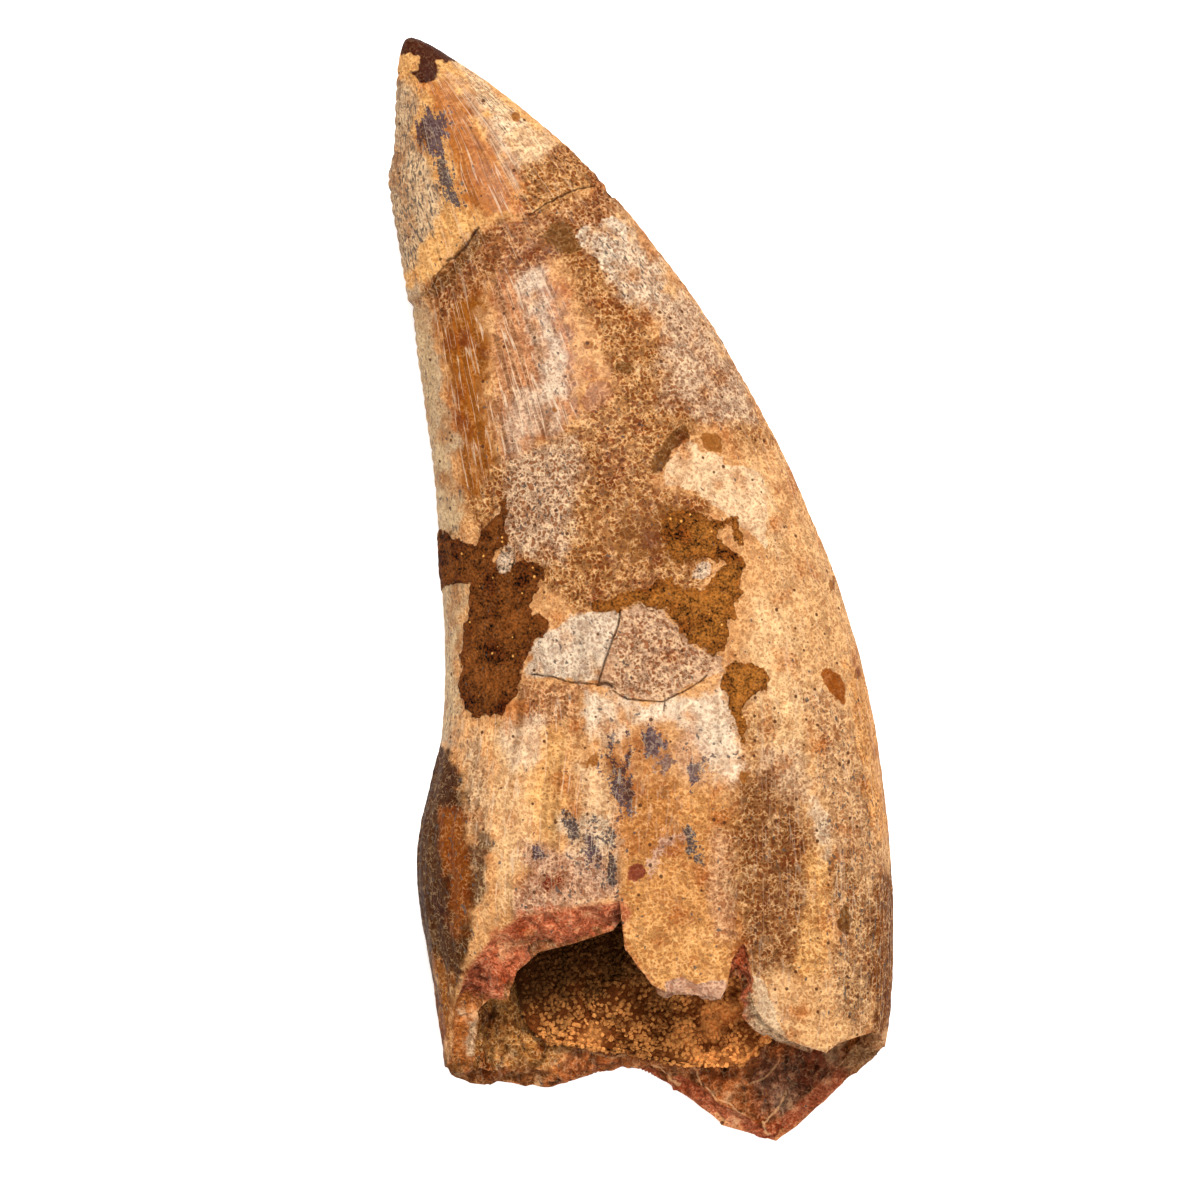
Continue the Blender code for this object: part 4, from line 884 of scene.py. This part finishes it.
def cutNotches(tree, given):
    turn = times(tree, calc(tree, "DIVIDE", named(tree, "edgeAlong"), given["Pitch"]), math.pi)
    tooth = calc(tree, "POWER", calc(tree, "ABSOLUTE", calc(tree, "SINE", turn)), 0.5)
    depth = times(tree, minus(tree, tooth, 1.0), given["Depth"])
    depth = times(tree, depth, named(tree, "edgeNear"))
    offset = vector(tree, "SCALE", named(tree, "edgeWay", "FLOAT_VECTOR"), depth)
    return add(tree, "GeometryNodeSetPosition", {"Geometry": given["Geometry"], "Offset": offset}).outputs[0]


def makeTooth(finish):
    points, fields, run, shares = shapeTooth(toothPoints, toothFaces, toothPart, toothRimShare)
    tooth = meshFrom("fossil_tooth", points, toothFaces)
    mesh = tooth.data
    mesh.set_sharp_from_angle(angle=math.radians(58))
    writeField(mesh, "ground", fields["ground"])
    for name, values in fields["finish"].items():
        writeField(mesh, name, values)
    for name in marks:
        writeField(mesh, name + "Edge", fields["edges"][name])
        writeField(mesh, name + "Coat", fields["coats"][name])
    writeField(mesh, "crackGap", fields["crackGap"])
    writeField(mesh, "cloud", tones["cloud"] * fractal(points, 0.75, 4, 51.0))
    writeField(mesh, "veinGap", fields["veinGap"])
    writeField(mesh, "broken", shares[rim] + shares[wall])
    writeField(mesh, "runWay", run)
    near, along, way = edgeFields(toothPoints)
    writeField(mesh, "edgeNear", near * shares[skin])
    writeField(mesh, "edgeAlong", along * mm)
    writeField(mesh, "edgeWay", way)
    sockets = (("Pitch", "Float"), ("Depth", "Float"), ("Material", "Material"))
    tree = modifierTree("cutting edge notches", sockets, cutNotches)
    applyTree(tooth, tree, {
        "Pitch": notches["pitch"] * mm, "Depth": notches["depth"] * mm, "Material": finish})
    return tooth


# The cemented sand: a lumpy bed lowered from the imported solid, with grains that reach its surface
sandGrains = {
    "drop": 0.36,
    "lumps": 1.0,
    "leastBed": 0.12,
    "toneOfLumps": 0.3,
    "toneAcross": 0.4,     # added by the leading end
    "size": 0.28,
    "spacing": 0.16,
    "density": 8e7,        # the most to a square metre, before the spacing thins them
    "seed": 7,
}


def sandBed():
    work = bmesh.new()
    work.from_mesh(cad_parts["cavity_sand"].data)
    bmesh.ops.remove_doubles(work, verts=work.verts, dist=2e-6)
    bmesh.ops.subdivide_edges(work, edges=work.edges, cuts=2, use_grid_fill=True)
    bmesh.ops.triangulate(work, faces=work.faces)
    bmesh.ops.recalc_face_normals(work, faces=work.faces)
    work.normal_update()
    solid = BVHTree.FromBMesh(work)
    points = np.array([v.co for v in work.verts]) / mm
    lumps = fractal(points, 0.7, 3, 31.0)
    patches = fractal(points, 0.5, 2, 33.0)
    cover = np.zeros(len(points))
    lowered = {}
    for k, v in enumerate(work.verts):
        if v.normal.z > 0.2:
            under = solid.ray_cast(v.co - Vector((0, 0, 2e-6)), Vector((0, 0, -1)))[3]
            thick = (under or 0.0) / mm
            wanted = sandGrains["drop"] + sandGrains["lumps"] * ease(-0.3, 0.5, lumps[k])
            drop = min(wanted, thick - sandGrains["leastBed"])
            lowered[v] = v.co.z - max(drop, 0.0) * mm
            cover[k] = ease(0.3, 0.6, thick + 0.3 * patches[k]) * (0.6 + 0.4 * ease(-0.35, 0.05, patches[k]))
        elif v.normal.y < -0.2:
            cover[k] = 0.6
    for v, z in lowered.items():
        v.co.z = z
    mesh = bpy.data.meshes.new("cemented_sand")
    work.to_mesh(mesh)
    work.free()
    mesh.shade_smooth()
    writeField(mesh, "cover", cover)
    across = ease(0.0, 4.0, points[:, 0])
    writeField(mesh, "tone", sandGrains["toneOfLumps"] * lumps + sandGrains["toneAcross"] * across)
    made = bpy.data.objects.new("cemented_sand", mesh)
    bpy.context.scene.collection.objects.link(made)
    return made


def layGrains(tree, given):
    spots = add(tree, "GeometryNodeDistributePointsOnFaces", {
        "Mesh": given["Geometry"], "Distance Min": given["Spacing"], "Density Max": given["Density"],
        "Density Factor": named(tree, "cover"), "Seed": given["Seed"]}, distribute_method="POISSON")
    spots = spots.outputs["Points"]
    cuts = {"Vertices X": 3, "Vertices Y": 3, "Vertices Z": 3}
    block = add(tree, "GeometryNodeMeshCube", cuts).outputs["Mesh"]
    place = add(tree, "GeometryNodeInputPosition").outputs[0]
    ball = vector(tree, "SCALE", vector(tree, "NORMALIZE", place, (0.0, 0.0, 0.0)), 0.3)
    rounded = vector(tree, "ADD", ball, vector(tree, "SCALE", place, 0.36))
    grain = add(tree, "GeometryNodeSetPosition", {"Geometry": block, "Position": rounded}).outputs[0]
    turns = {0: (0.0, 0.0, 0.0), 1: (6.3, 6.3, 6.3), "Seed": given["Seed"]}
    turn = add(tree, "FunctionNodeRandomValue", turns, data_type="FLOAT_VECTOR").outputs[0]
    sizes = {0: (0.55, 0.5, 0.4), 1: (1.3, 1.2, 1.0), "Seed": 3}
    size = add(tree, "FunctionNodeRandomValue", sizes, data_type="FLOAT_VECTOR").outputs[0]
    size = vector(tree, "SCALE", size, given["Size"])
    grains = add(tree, "GeometryNodeInstanceOnPoints", {
        "Points": spots, "Instance": grain, "Rotation": turn, "Scale": size}).outputs[0]
    tone = add(tree, "FunctionNodeRandomValue", {2: 0.4, 3: 1.1, "Seed": 5}, data_type="FLOAT").outputs[1]
    grains = add(tree, "GeometryNodeStoreNamedAttribute", {"Geometry": grains, "Name": "tone", "Value": tone},
                 data_type="FLOAT", domain="INSTANCE").outputs[0]
    joined = add(tree, "GeometryNodeJoinGeometry")
    tree.links.new(grains, joined.inputs[0])
    tree.links.new(given["Geometry"], joined.inputs[0])
    return joined.outputs[0]


def makeSand(finish):
    sand = sandBed()
    sockets = (
        ("Spacing", "Float"), ("Density", "Float"), ("Size", "Float"), ("Seed", "Int"),
        ("Material", "Material"))
    tree = modifierTree("cemented sand grains", sockets, layGrains)
    applyTree(sand, tree, {
        "Spacing": sandGrains["spacing"] * mm, "Density": sandGrains["density"],
        "Size": sandGrains["size"] * mm, "Seed": sandGrains["seed"], "Material": finish})
    return sand


# Shader building
def between(tree, value, low, high, start=0.0, end=1.0):
    sockets = {"Value": value, "From Min": low, "From Max": high, "To Min": start, "To Max": end}
    return add(tree, "ShaderNodeMapRange", sockets, interpolation_type="SMOOTHSTEP").outputs[0]


def blend(tree, share, under, over, mode="MIX"):
    sockets = {0: share, 6: under, 7: over}
    return add(tree, "ShaderNodeMix", sockets, data_type="RGBA", blend_type=mode).outputs[2]


def field(tree, name, output="Fac"):
    return add(tree, "ShaderNodeAttribute", attribute_name=name).outputs[output]


def noiseAt(tree, place, scale, detail=2.0, rough=0.5, twist=0.0):
    sockets = {"Vector": place, "Scale": scale, "Detail": detail, "Roughness": rough, "Distortion": twist}
    return add(tree, "ShaderNodeTexNoise", sockets).outputs["Fac"]


def makeGroup(name, inputs, outputs, build):
    group = bpy.data.node_groups.new(name, "ShaderNodeTree")
    for label, kind, default in inputs:
        socket = group.interface.new_socket(label, in_out="INPUT", socket_type="NodeSocket" + kind)
        if default is not None:
            socket.default_value = default
    for label in outputs:
        group.interface.new_socket(label, in_out="OUTPUT", socket_type="NodeSocketFloat")
    start, end = group.nodes.new("NodeGroupInput"), group.nodes.new("NodeGroupOutput")
    for label, value in build(group, start.outputs).items():
        group.links.new(value, end.inputs[label])
    return group


def buildMottle(tree, given):
    # thin curls are the contour lines of one noise, and another says which are pale and which dark
    lines = noiseAt(tree, given["Place"], given["Scale"], 1.0, 0.55)
    away = calc(tree, "ABSOLUTE", minus(tree, lines, 0.5))
    curl = between(tree, away, given["Width"], 0.0)
    patch = noiseAt(tree, given["Place"], times(tree, given["Scale"], 0.6), 1.5)
    pale = times(tree, curl, between(tree, patch, 0.42, 0.58, 0.15))
    dark = times(tree, curl, between(tree, patch, 0.5, 0.40))
    hollow = between(tree, calc(tree, "DIVIDE", away, given["Width"]), 1.4, 2.4)
    return {"Pale": pale, "Dark": most(tree, dark, hollow), "Patch": patch}


def buildGrain(tree, given):
    grain = noiseAt(tree, given["Place"], given["Scale"], 1.5, 0.65)
    return {"Grain": minus(tree, grain, 0.5)}


def buildPinholes(tree, given):
    cells = add(tree, "ShaderNodeTexVoronoi", {"Vector": given["Place"], "Scale": given["Scale"]})
    chosen = add(tree, "ShaderNodeSeparateColor", {0: cells.outputs["Color"]}).outputs[0]
    least = minus(tree, 1.0, given["Amount"])
    size = times(tree, given["Size"], between(tree, chosen, least, 1.0))
    hole = between(tree, minus(tree, cells.outputs["Distance"], size), 0.05, -0.04)
    return {"Hole": times(tree, hole, calc(tree, "GREATER_THAN", size, 0.02))}


def buildFlecks(tree, given):
    fine = noiseAt(tree, given["Place"], given["Scale"], 1.0, 0.5)
    least = timesPlus(tree, given["Amount"], -0.24, 0.74)
    return {"Fleck": between(tree, minus(tree, fine, least), 0.0, 0.03)}


def buildRagged(tree, given):
    moved = timesPlus(tree, given["Noise"], given["Wobble"], given["Distance"])
    return {"Cover": between(tree, moved, times(tree, given["Softness"], -1.0), given["Softness"])}


def buildStreaks(tree, given):
    broad = noiseAt(tree, vector(tree, "MULTIPLY", given["Run"], (1.0, 1.0, 0.07)), given["Scale"], 1.6, 0.55)
    away = calc(tree, "ABSOLUTE", minus(tree, broad, 0.5))
    dash = noiseAt(tree, vector(tree, "MULTIPLY", given["Run"], (1.0, 1.0, 0.28)), given["Scale"], 1.0)
    line = times(tree, between(tree, away, given["Width"], 0.0), between(tree, dash, 0.40, 0.56))
    return {"Line": line, "Band": minus(tree, broad, 0.5)}


placeSocket = ("Place", "Vector", None)
scaleSocket = ("Scale", "Float", 3.0)
mottle = makeGroup(
    "mottled curls", [placeSocket, scaleSocket, ("Width", "Float", 0.06)], ["Pale", "Dark", "Patch"],
    buildMottle)
fineGrain = makeGroup("fine grain", [placeSocket, scaleSocket], ["Grain"], buildGrain)
pinholes = makeGroup(
    "pinholes", [placeSocket, scaleSocket, ("Size", "Float", 0.14), ("Amount", "Float", 0.4)],
    ["Hole"], buildPinholes)
flecks = makeGroup("flecks", [placeSocket, scaleSocket, ("Amount", "Float", 0.4)], ["Fleck"], buildFlecks)
borderSockets = [
    ("Distance", "Float", 0.0), ("Noise", "Float", 0.0), ("Wobble", "Float", 0.3),
    ("Softness", "Float", 0.04),
]
ragged = makeGroup("ragged border", borderSockets, ["Cover"], buildRagged)
streaks = makeGroup("lengthwise streaks", [("Run", "Vector", None), scaleSocket, ("Width", "Float", 0.035)],
                    ["Line", "Band"], buildStreaks)


def useGroup(tree, group, **inputs):
    made = tree.nodes.new("ShaderNodeGroup")
    made.node_tree = group
    for label, value in inputs.items():
        plug(tree, made.inputs[label], value)
    return made.outputs


toothFinish = {
    "albedo": 0.77,          # how bright the tints are under the studio's light
    "cloud": 0.6,           # strength of the broad colour changes
    "grain": 1.45,            # strength of the fine grain in the colour
    "mottleScale": 4.2,      # curls, per mm
    "grainScale": 8.5,
    "streakScale": 3.0,
    "enamelRoughness": 0.42,
    "weatheredRoughness": 0.78,
    "coat": 0.16,
    "coatRoughness": 0.3,
    "specular": 0.03,         # kept low, so that steep sides don't turn pale
    "streak": 1.4,            # strength in the colour, as are the next six
    "streakLine": 0.6,
    "vein": 0.75,
    "crack": 0.85,
    "fleck": 0.85,
    "pinhole": 0.92,
    "brokenLightAndShade": 0.45,
    "fleckScale": 5.0,
    "pinholeScale": 2.0,
    "bump": 1.0,
}
layerBorders = {
    "bleed": {"Wobble": 1.2, "Softness": 0.07},
    "chip": {"Wobble": 0.3, "Softness": 0.03},
    "stain": {"Wobble": 0.5, "Softness": 0.05},
    "crust": {"Wobble": 0.6, "Softness": 0.045},
}


def principled(name):
    made = bpy.data.materials.new(name)
    made.use_nodes = True
    return made, made.node_tree, made.node_tree.nodes["Principled BSDF"]


def inMillimetres(tree):
    return vector(tree, "SCALE", add(tree, "ShaderNodeTexCoord").outputs["Object"], 1 / mm)


def makeToothMaterial():
    material, tree, shader = principled("fossil enamel and dentine")
    place = inMillimetres(tree)
    run = field(tree, "runWay", "Vector")
    grit, streak, gloss, broken = (field(tree, name) for name in ("grit", "streak", "gloss", "broken"))
    curl = useGroup(tree, mottle, Place=place, Scale=toothFinish["mottleScale"], Width=0.06)
    grain = useGroup(tree, fineGrain, Place=place, Scale=toothFinish["grainScale"])["Grain"]
    line = useGroup(tree, streaks, Run=run, Scale=toothFinish["streakScale"])
    cloud = field(tree, "cloud")
    colour = field(tree, "ground", "Color")
    # bleeding stains follow the streaks, and the other borders are ragged evenly
    evenly = minus(tree, curl["Patch"], 0.5)
    frayed = timesPlus(tree, grain, 0.9, calc(tree, "ADD", line["Band"], evenly))
    covers = {}
    for name in marks:
        covers[name] = useGroup(
            tree, ragged, Distance=field(tree, name + "Edge"), Noise=frayed if name == "bleed" else evenly,
            **layerBorders[name])["Cover"]
        colour = blend(tree, covers[name], colour, field(tree, name + "Coat", "Color"))
    crust = covers["crust"]
    coated = most(tree, crust, times(tree, covers["stain"], 0.8))
    bare = minus(tree, 1.0, coated)
    streak = times(tree, streak, bare)
    # broad light and dark, then a fine grain
    rough = most(tree, grit, most(tree, crust, broken))
    coarse = timesPlus(tree, rough, 0.65, 0.35)
    coarse = timesPlus(tree, crust, 1.1, coarse)
    uneven = timesPlus(tree, crust, 1.8, toothFinish["cloud"])
    brightness = timesPlus(tree, cloud, uneven, toothFinish["albedo"])
    brightness = timesPlus(tree, times(tree, evenly, coarse), 0.7, brightness)
    brightness = timesPlus(tree, times(tree, grain, coarse), toothFinish["grain"], brightness)
    brightness = timesPlus(tree, times(tree, line["Band"], streak), toothFinish["streak"],
                      brightness)
    colour = vector(tree, "SCALE", colour, brightness)
    warm = between(tree, cloud, 0.0, -0.16, 0.0, 0.8)
    colour = blend(tree, warm, colour, linear("warmShade"), "MULTIPLY")
    faded = times(tree, between(tree, cloud, 0.06, 0.2, 0.0, 0.4), times(tree, bare, coarse))
    colour = blend(tree, faded, colour, linear("curlPale"))
    # painted shade along the inside of the crusts' borders
    crustBorderShade = times(tree, crust, between(tree, field(tree, "crustEdge"), 0.5, 0.05, 0.0, 0.35))
    colour = blend(tree, crustBorderShade, colour, linear("crustShade"), "MULTIPLY")
    # curls: dark curls darken the colour, and pale curls are the enamel's own pale lines, brightened 1.7
    # times as painted glints
    strength = times(tree, timesPlus(tree, grit, 0.8, 0.2), bare)
    colour = blend(tree, times(tree, curl["Dark"], timesPlus(tree, strength, 0.7, 0.15)), colour,
                   linear("curlDark"), "MULTIPLY")
    raised = blend(tree, 0.5, vector(tree, "SCALE", colour, 1.7), linear("curlPale"))
    colour = blend(tree, times(tree, curl["Pale"], timesPlus(tree, strength, 0.7, 0.05)), colour,
                   raised)
    # painted light on the broken dentine: lighter patches are painted highlights on its lumps, darker ones
    # painted shade in its recesses
    paintedReliefTone = timesPlus(tree, evenly, 0.6, cloud)
    lumps = between(tree, paintedReliefTone, 0.08, 0.26, 0.0, toothFinish["brokenLightAndShade"])
    colour = blend(tree, times(tree, broken, lumps), colour, linear("vein"))
    paintedRecessShade = between(tree, paintedReliefTone, -0.1, -0.28, 0.0, toothFinish["brokenLightAndShade"])
    colour = blend(tree, times(tree, broken, paintedRecessShade), colour, linear("cavityDark"))
    vein = between(tree, field(tree, "veinGap"), 0.07, 0.02)
    colour = blend(tree, times(tree, vein, toothFinish["vein"]), colour, linear("vein"))
    # cream lengthwise lines: pale striations of the enamel, brightened as painted glints
    colour = blend(tree, times(tree, line["Line"], times(tree, streak, toothFinish["streakLine"])), colour,
                   linear("cream"))
    # flecks lie along the tooth, and pinholes are dark on the enamel and gold dots on the crusts
    flat = vector(tree, "MULTIPLY", run, (1.0, 1.0, 0.7))
    amount = times(tree, field(tree, "speck"), bare)
    speck = useGroup(tree, flecks, Place=flat, Scale=toothFinish["fleckScale"], Amount=amount)
    colour = blend(tree, times(tree, speck["Fleck"], toothFinish["fleck"]), colour, linear("fleckDark"))
    size = timesPlus(tree, crust, -0.07, 0.19)
    amount = most(tree, field(tree, "pits"), times(tree, crust, 0.9))
    scale = toothFinish["pinholeScale"]
    hole = useGroup(tree, pinholes, Place=place, Scale=scale, Size=size, Amount=amount)["Hole"]
    dot = blend(tree, crust, linear("pitDark"), linear("goldDot"))
    colour = blend(tree, times(tree, hole, toothFinish["pinhole"]), colour, dot)
    crack = between(tree, field(tree, "crackGap"), 0.05, -0.02)
    colour = blend(tree, times(tree, crack, toothFinish["crack"]), colour, linear("cavityDark"))
    tree.links.new(colour, shader.inputs["Base Color"])
    roughness = between(tree, minus(tree, gloss, rough), -0.6, 0.7,
                        toothFinish["weatheredRoughness"], toothFinish["enamelRoughness"])
    tree.links.new(timesPlus(tree, grain, 0.3, roughness), shader.inputs["Roughness"])
    coat = times(tree, times(tree, gloss, toothFinish["coat"]),
                minus(tree, 1.0, most(tree, crust, broken)))
    tree.links.new(coat, shader.inputs["Coat Weight"])
    shader.inputs["Coat Roughness"].default_value = toothFinish["coatRoughness"]
    shader.inputs["Specular IOR Level"].default_value = toothFinish["specular"]
    # height in mm
    height = times(tree, minus(tree, curl["Pale"], curl["Dark"]),
                  timesPlus(tree, strength, 0.024, 0.006))
    height = timesPlus(tree, grain, timesPlus(tree, rough, 0.07, 0.02), height)
    height = timesPlus(tree, curl["Patch"], timesPlus(tree, rough, 0.1, 0.02), height)
    bump = add(tree, "ShaderNodeBump", {"Height": height, "Distance": mm, "Strength": toothFinish["bump"]})
    tree.links.new(bump.outputs[0], shader.inputs["Normal"])
    return material


def makeSandMaterial():
    material, tree, shader = principled("cemented sand")
    place = inMillimetres(tree)
    grain = useGroup(tree, fineGrain, Place=place, Scale=7.0)["Grain"]
    patch = minus(tree, noiseAt(tree, place, 0.9, 3.0), 0.5)
    tone = timesPlus(tree, patch, 2.6, field(tree, "tone"))
    colour = blend(tree, between(tree, tone, 0.1, 1.1), linear("sandDark"), linear("sandPale"))
    # painted shade: the grains darken to dark brown towards the closed end of the cavity, under its upper
    # wall
    axes = add(tree, "ShaderNodeSeparateXYZ", {0: place}).outputs
    along = timesPlus(tree, axes[0], -0.35, axes[1])
    shade = times(tree, between(tree, timesPlus(tree, patch, 8.0, along), -20.8, -16.6), 0.85)
    colour = blend(tree, shade, colour, linear("cavityDark"))
    # painted light: the leading end of the sand is brightened, against the shadow the flap casts there
    paintedLightLift = between(tree, axes[0], 0.5, 4.0, 0.92, 1.45)
    colour = vector(tree, "SCALE", colour, timesPlus(tree, grain, 1.4, paintedLightLift))
    tree.links.new(colour, shader.inputs["Base Color"])
    tree.links.new(timesPlus(tree, grain, 0.2, 0.85), shader.inputs["Roughness"])
    shader.inputs["Specular IOR Level"].default_value = 0.05
    bump = add(tree, "ShaderNodeBump", {"Height": grain, "Distance": 0.14 * mm, "Strength": 1.0})
    tree.links.new(bump.outputs[0], shader.inputs["Normal"])
    return material


# Metres and watts here
studio = {
    "fill": 0.34,
    "tableHalf": 0.6,
    "tableGlow": 0.6,
    "lamps": {
        "key": {"place": (0.02, 0.21, 0.44), "size": 0.15, "power": 2.5},
        "soft": {"place": (0.12, -0.12, 0.48), "size": 0.40, "power": 1.0},
    },
}
camera = {"lens": 300.0, "sensor": 36.0, "away": 480.0, "aimX": -1.92, "aimY": -0.48, "aimZ": 4.8}


def makeStudio():
    world = bpy.data.worlds.new("studio")
    world.use_nodes = True
    world.node_tree.nodes["Background"].inputs["Color"].default_value = (1.0, 1.0, 1.0, 1.0)
    world.node_tree.nodes["Background"].inputs["Strength"].default_value = studio["fill"]
    scene = bpy.context.scene
    scene.world = world
    scene.view_settings.view_transform = "Standard"
    scene.cycles.max_bounces = 3
    scene.cycles.diffuse_bounces = 2
    scene.cycles.glossy_bounces = 2
    for name, settings in studio["lamps"].items():
        data = bpy.data.lights.new(name, "AREA")
        data.shape, data.size, data.energy = "DISK", settings["size"], settings["power"]
        lamp = bpy.data.objects.new(name, data)
        lamp.location = settings["place"]
        lamp.rotation_euler = (-Vector(settings["place"])).to_track_quat("-Z", "Y").to_euler()
        scene.collection.objects.link(lamp)
    mesh = bpy.data.meshes.new("table")
    half = studio["tableHalf"]
    corners = [(-half, -half, 0), (half, -half, 0), (half, half, 0), (-half, half, 0)]
    mesh.from_pydata(corners, [], [(0, 1, 2, 3)])
    table = bpy.data.objects.new("table", mesh)
    scene.collection.objects.link(table)
    material, _, shader = principled("pale table")
    shader.inputs["Base Color"].default_value = (0.93, 0.93, 0.93, 1.0)
    shader.inputs["Roughness"].default_value = 0.9
    shader.inputs["Specular IOR Level"].default_value = 0.1
    shader.inputs["Emission Color"].default_value = (1.0, 1.0, 1.0, 1.0)
    shader.inputs["Emission Strength"].default_value = studio["tableGlow"]
    mesh.materials.append(material)


def makeCamera():
    data = bpy.data.cameras.new("camera")
    data.lens, data.sensor_width = camera["lens"], camera["sensor"]
    data.clip_start, data.clip_end = 0.01, 10.0
    made = bpy.data.objects.new("camera", data)
    made.location = Vector((camera["aimX"], camera["aimY"], camera["aimZ"] + camera["away"])) * mm
    bpy.context.scene.collection.objects.link(made)
    bpy.context.scene.camera = made


def settle(piece, node):
    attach(piece, "root")
    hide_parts(node)
    triangles = sum(len(face.vertices) - 2 for face in piece.data.polygons)
    print(piece.name, "ready:", triangles, "triangles")


makeCamera()
makeStudio()
print("camera and studio ready")
settle(makeTooth(makeToothMaterial()), "tooth")
settle(makeSand(makeSandMaterial()), "cavity_sand")
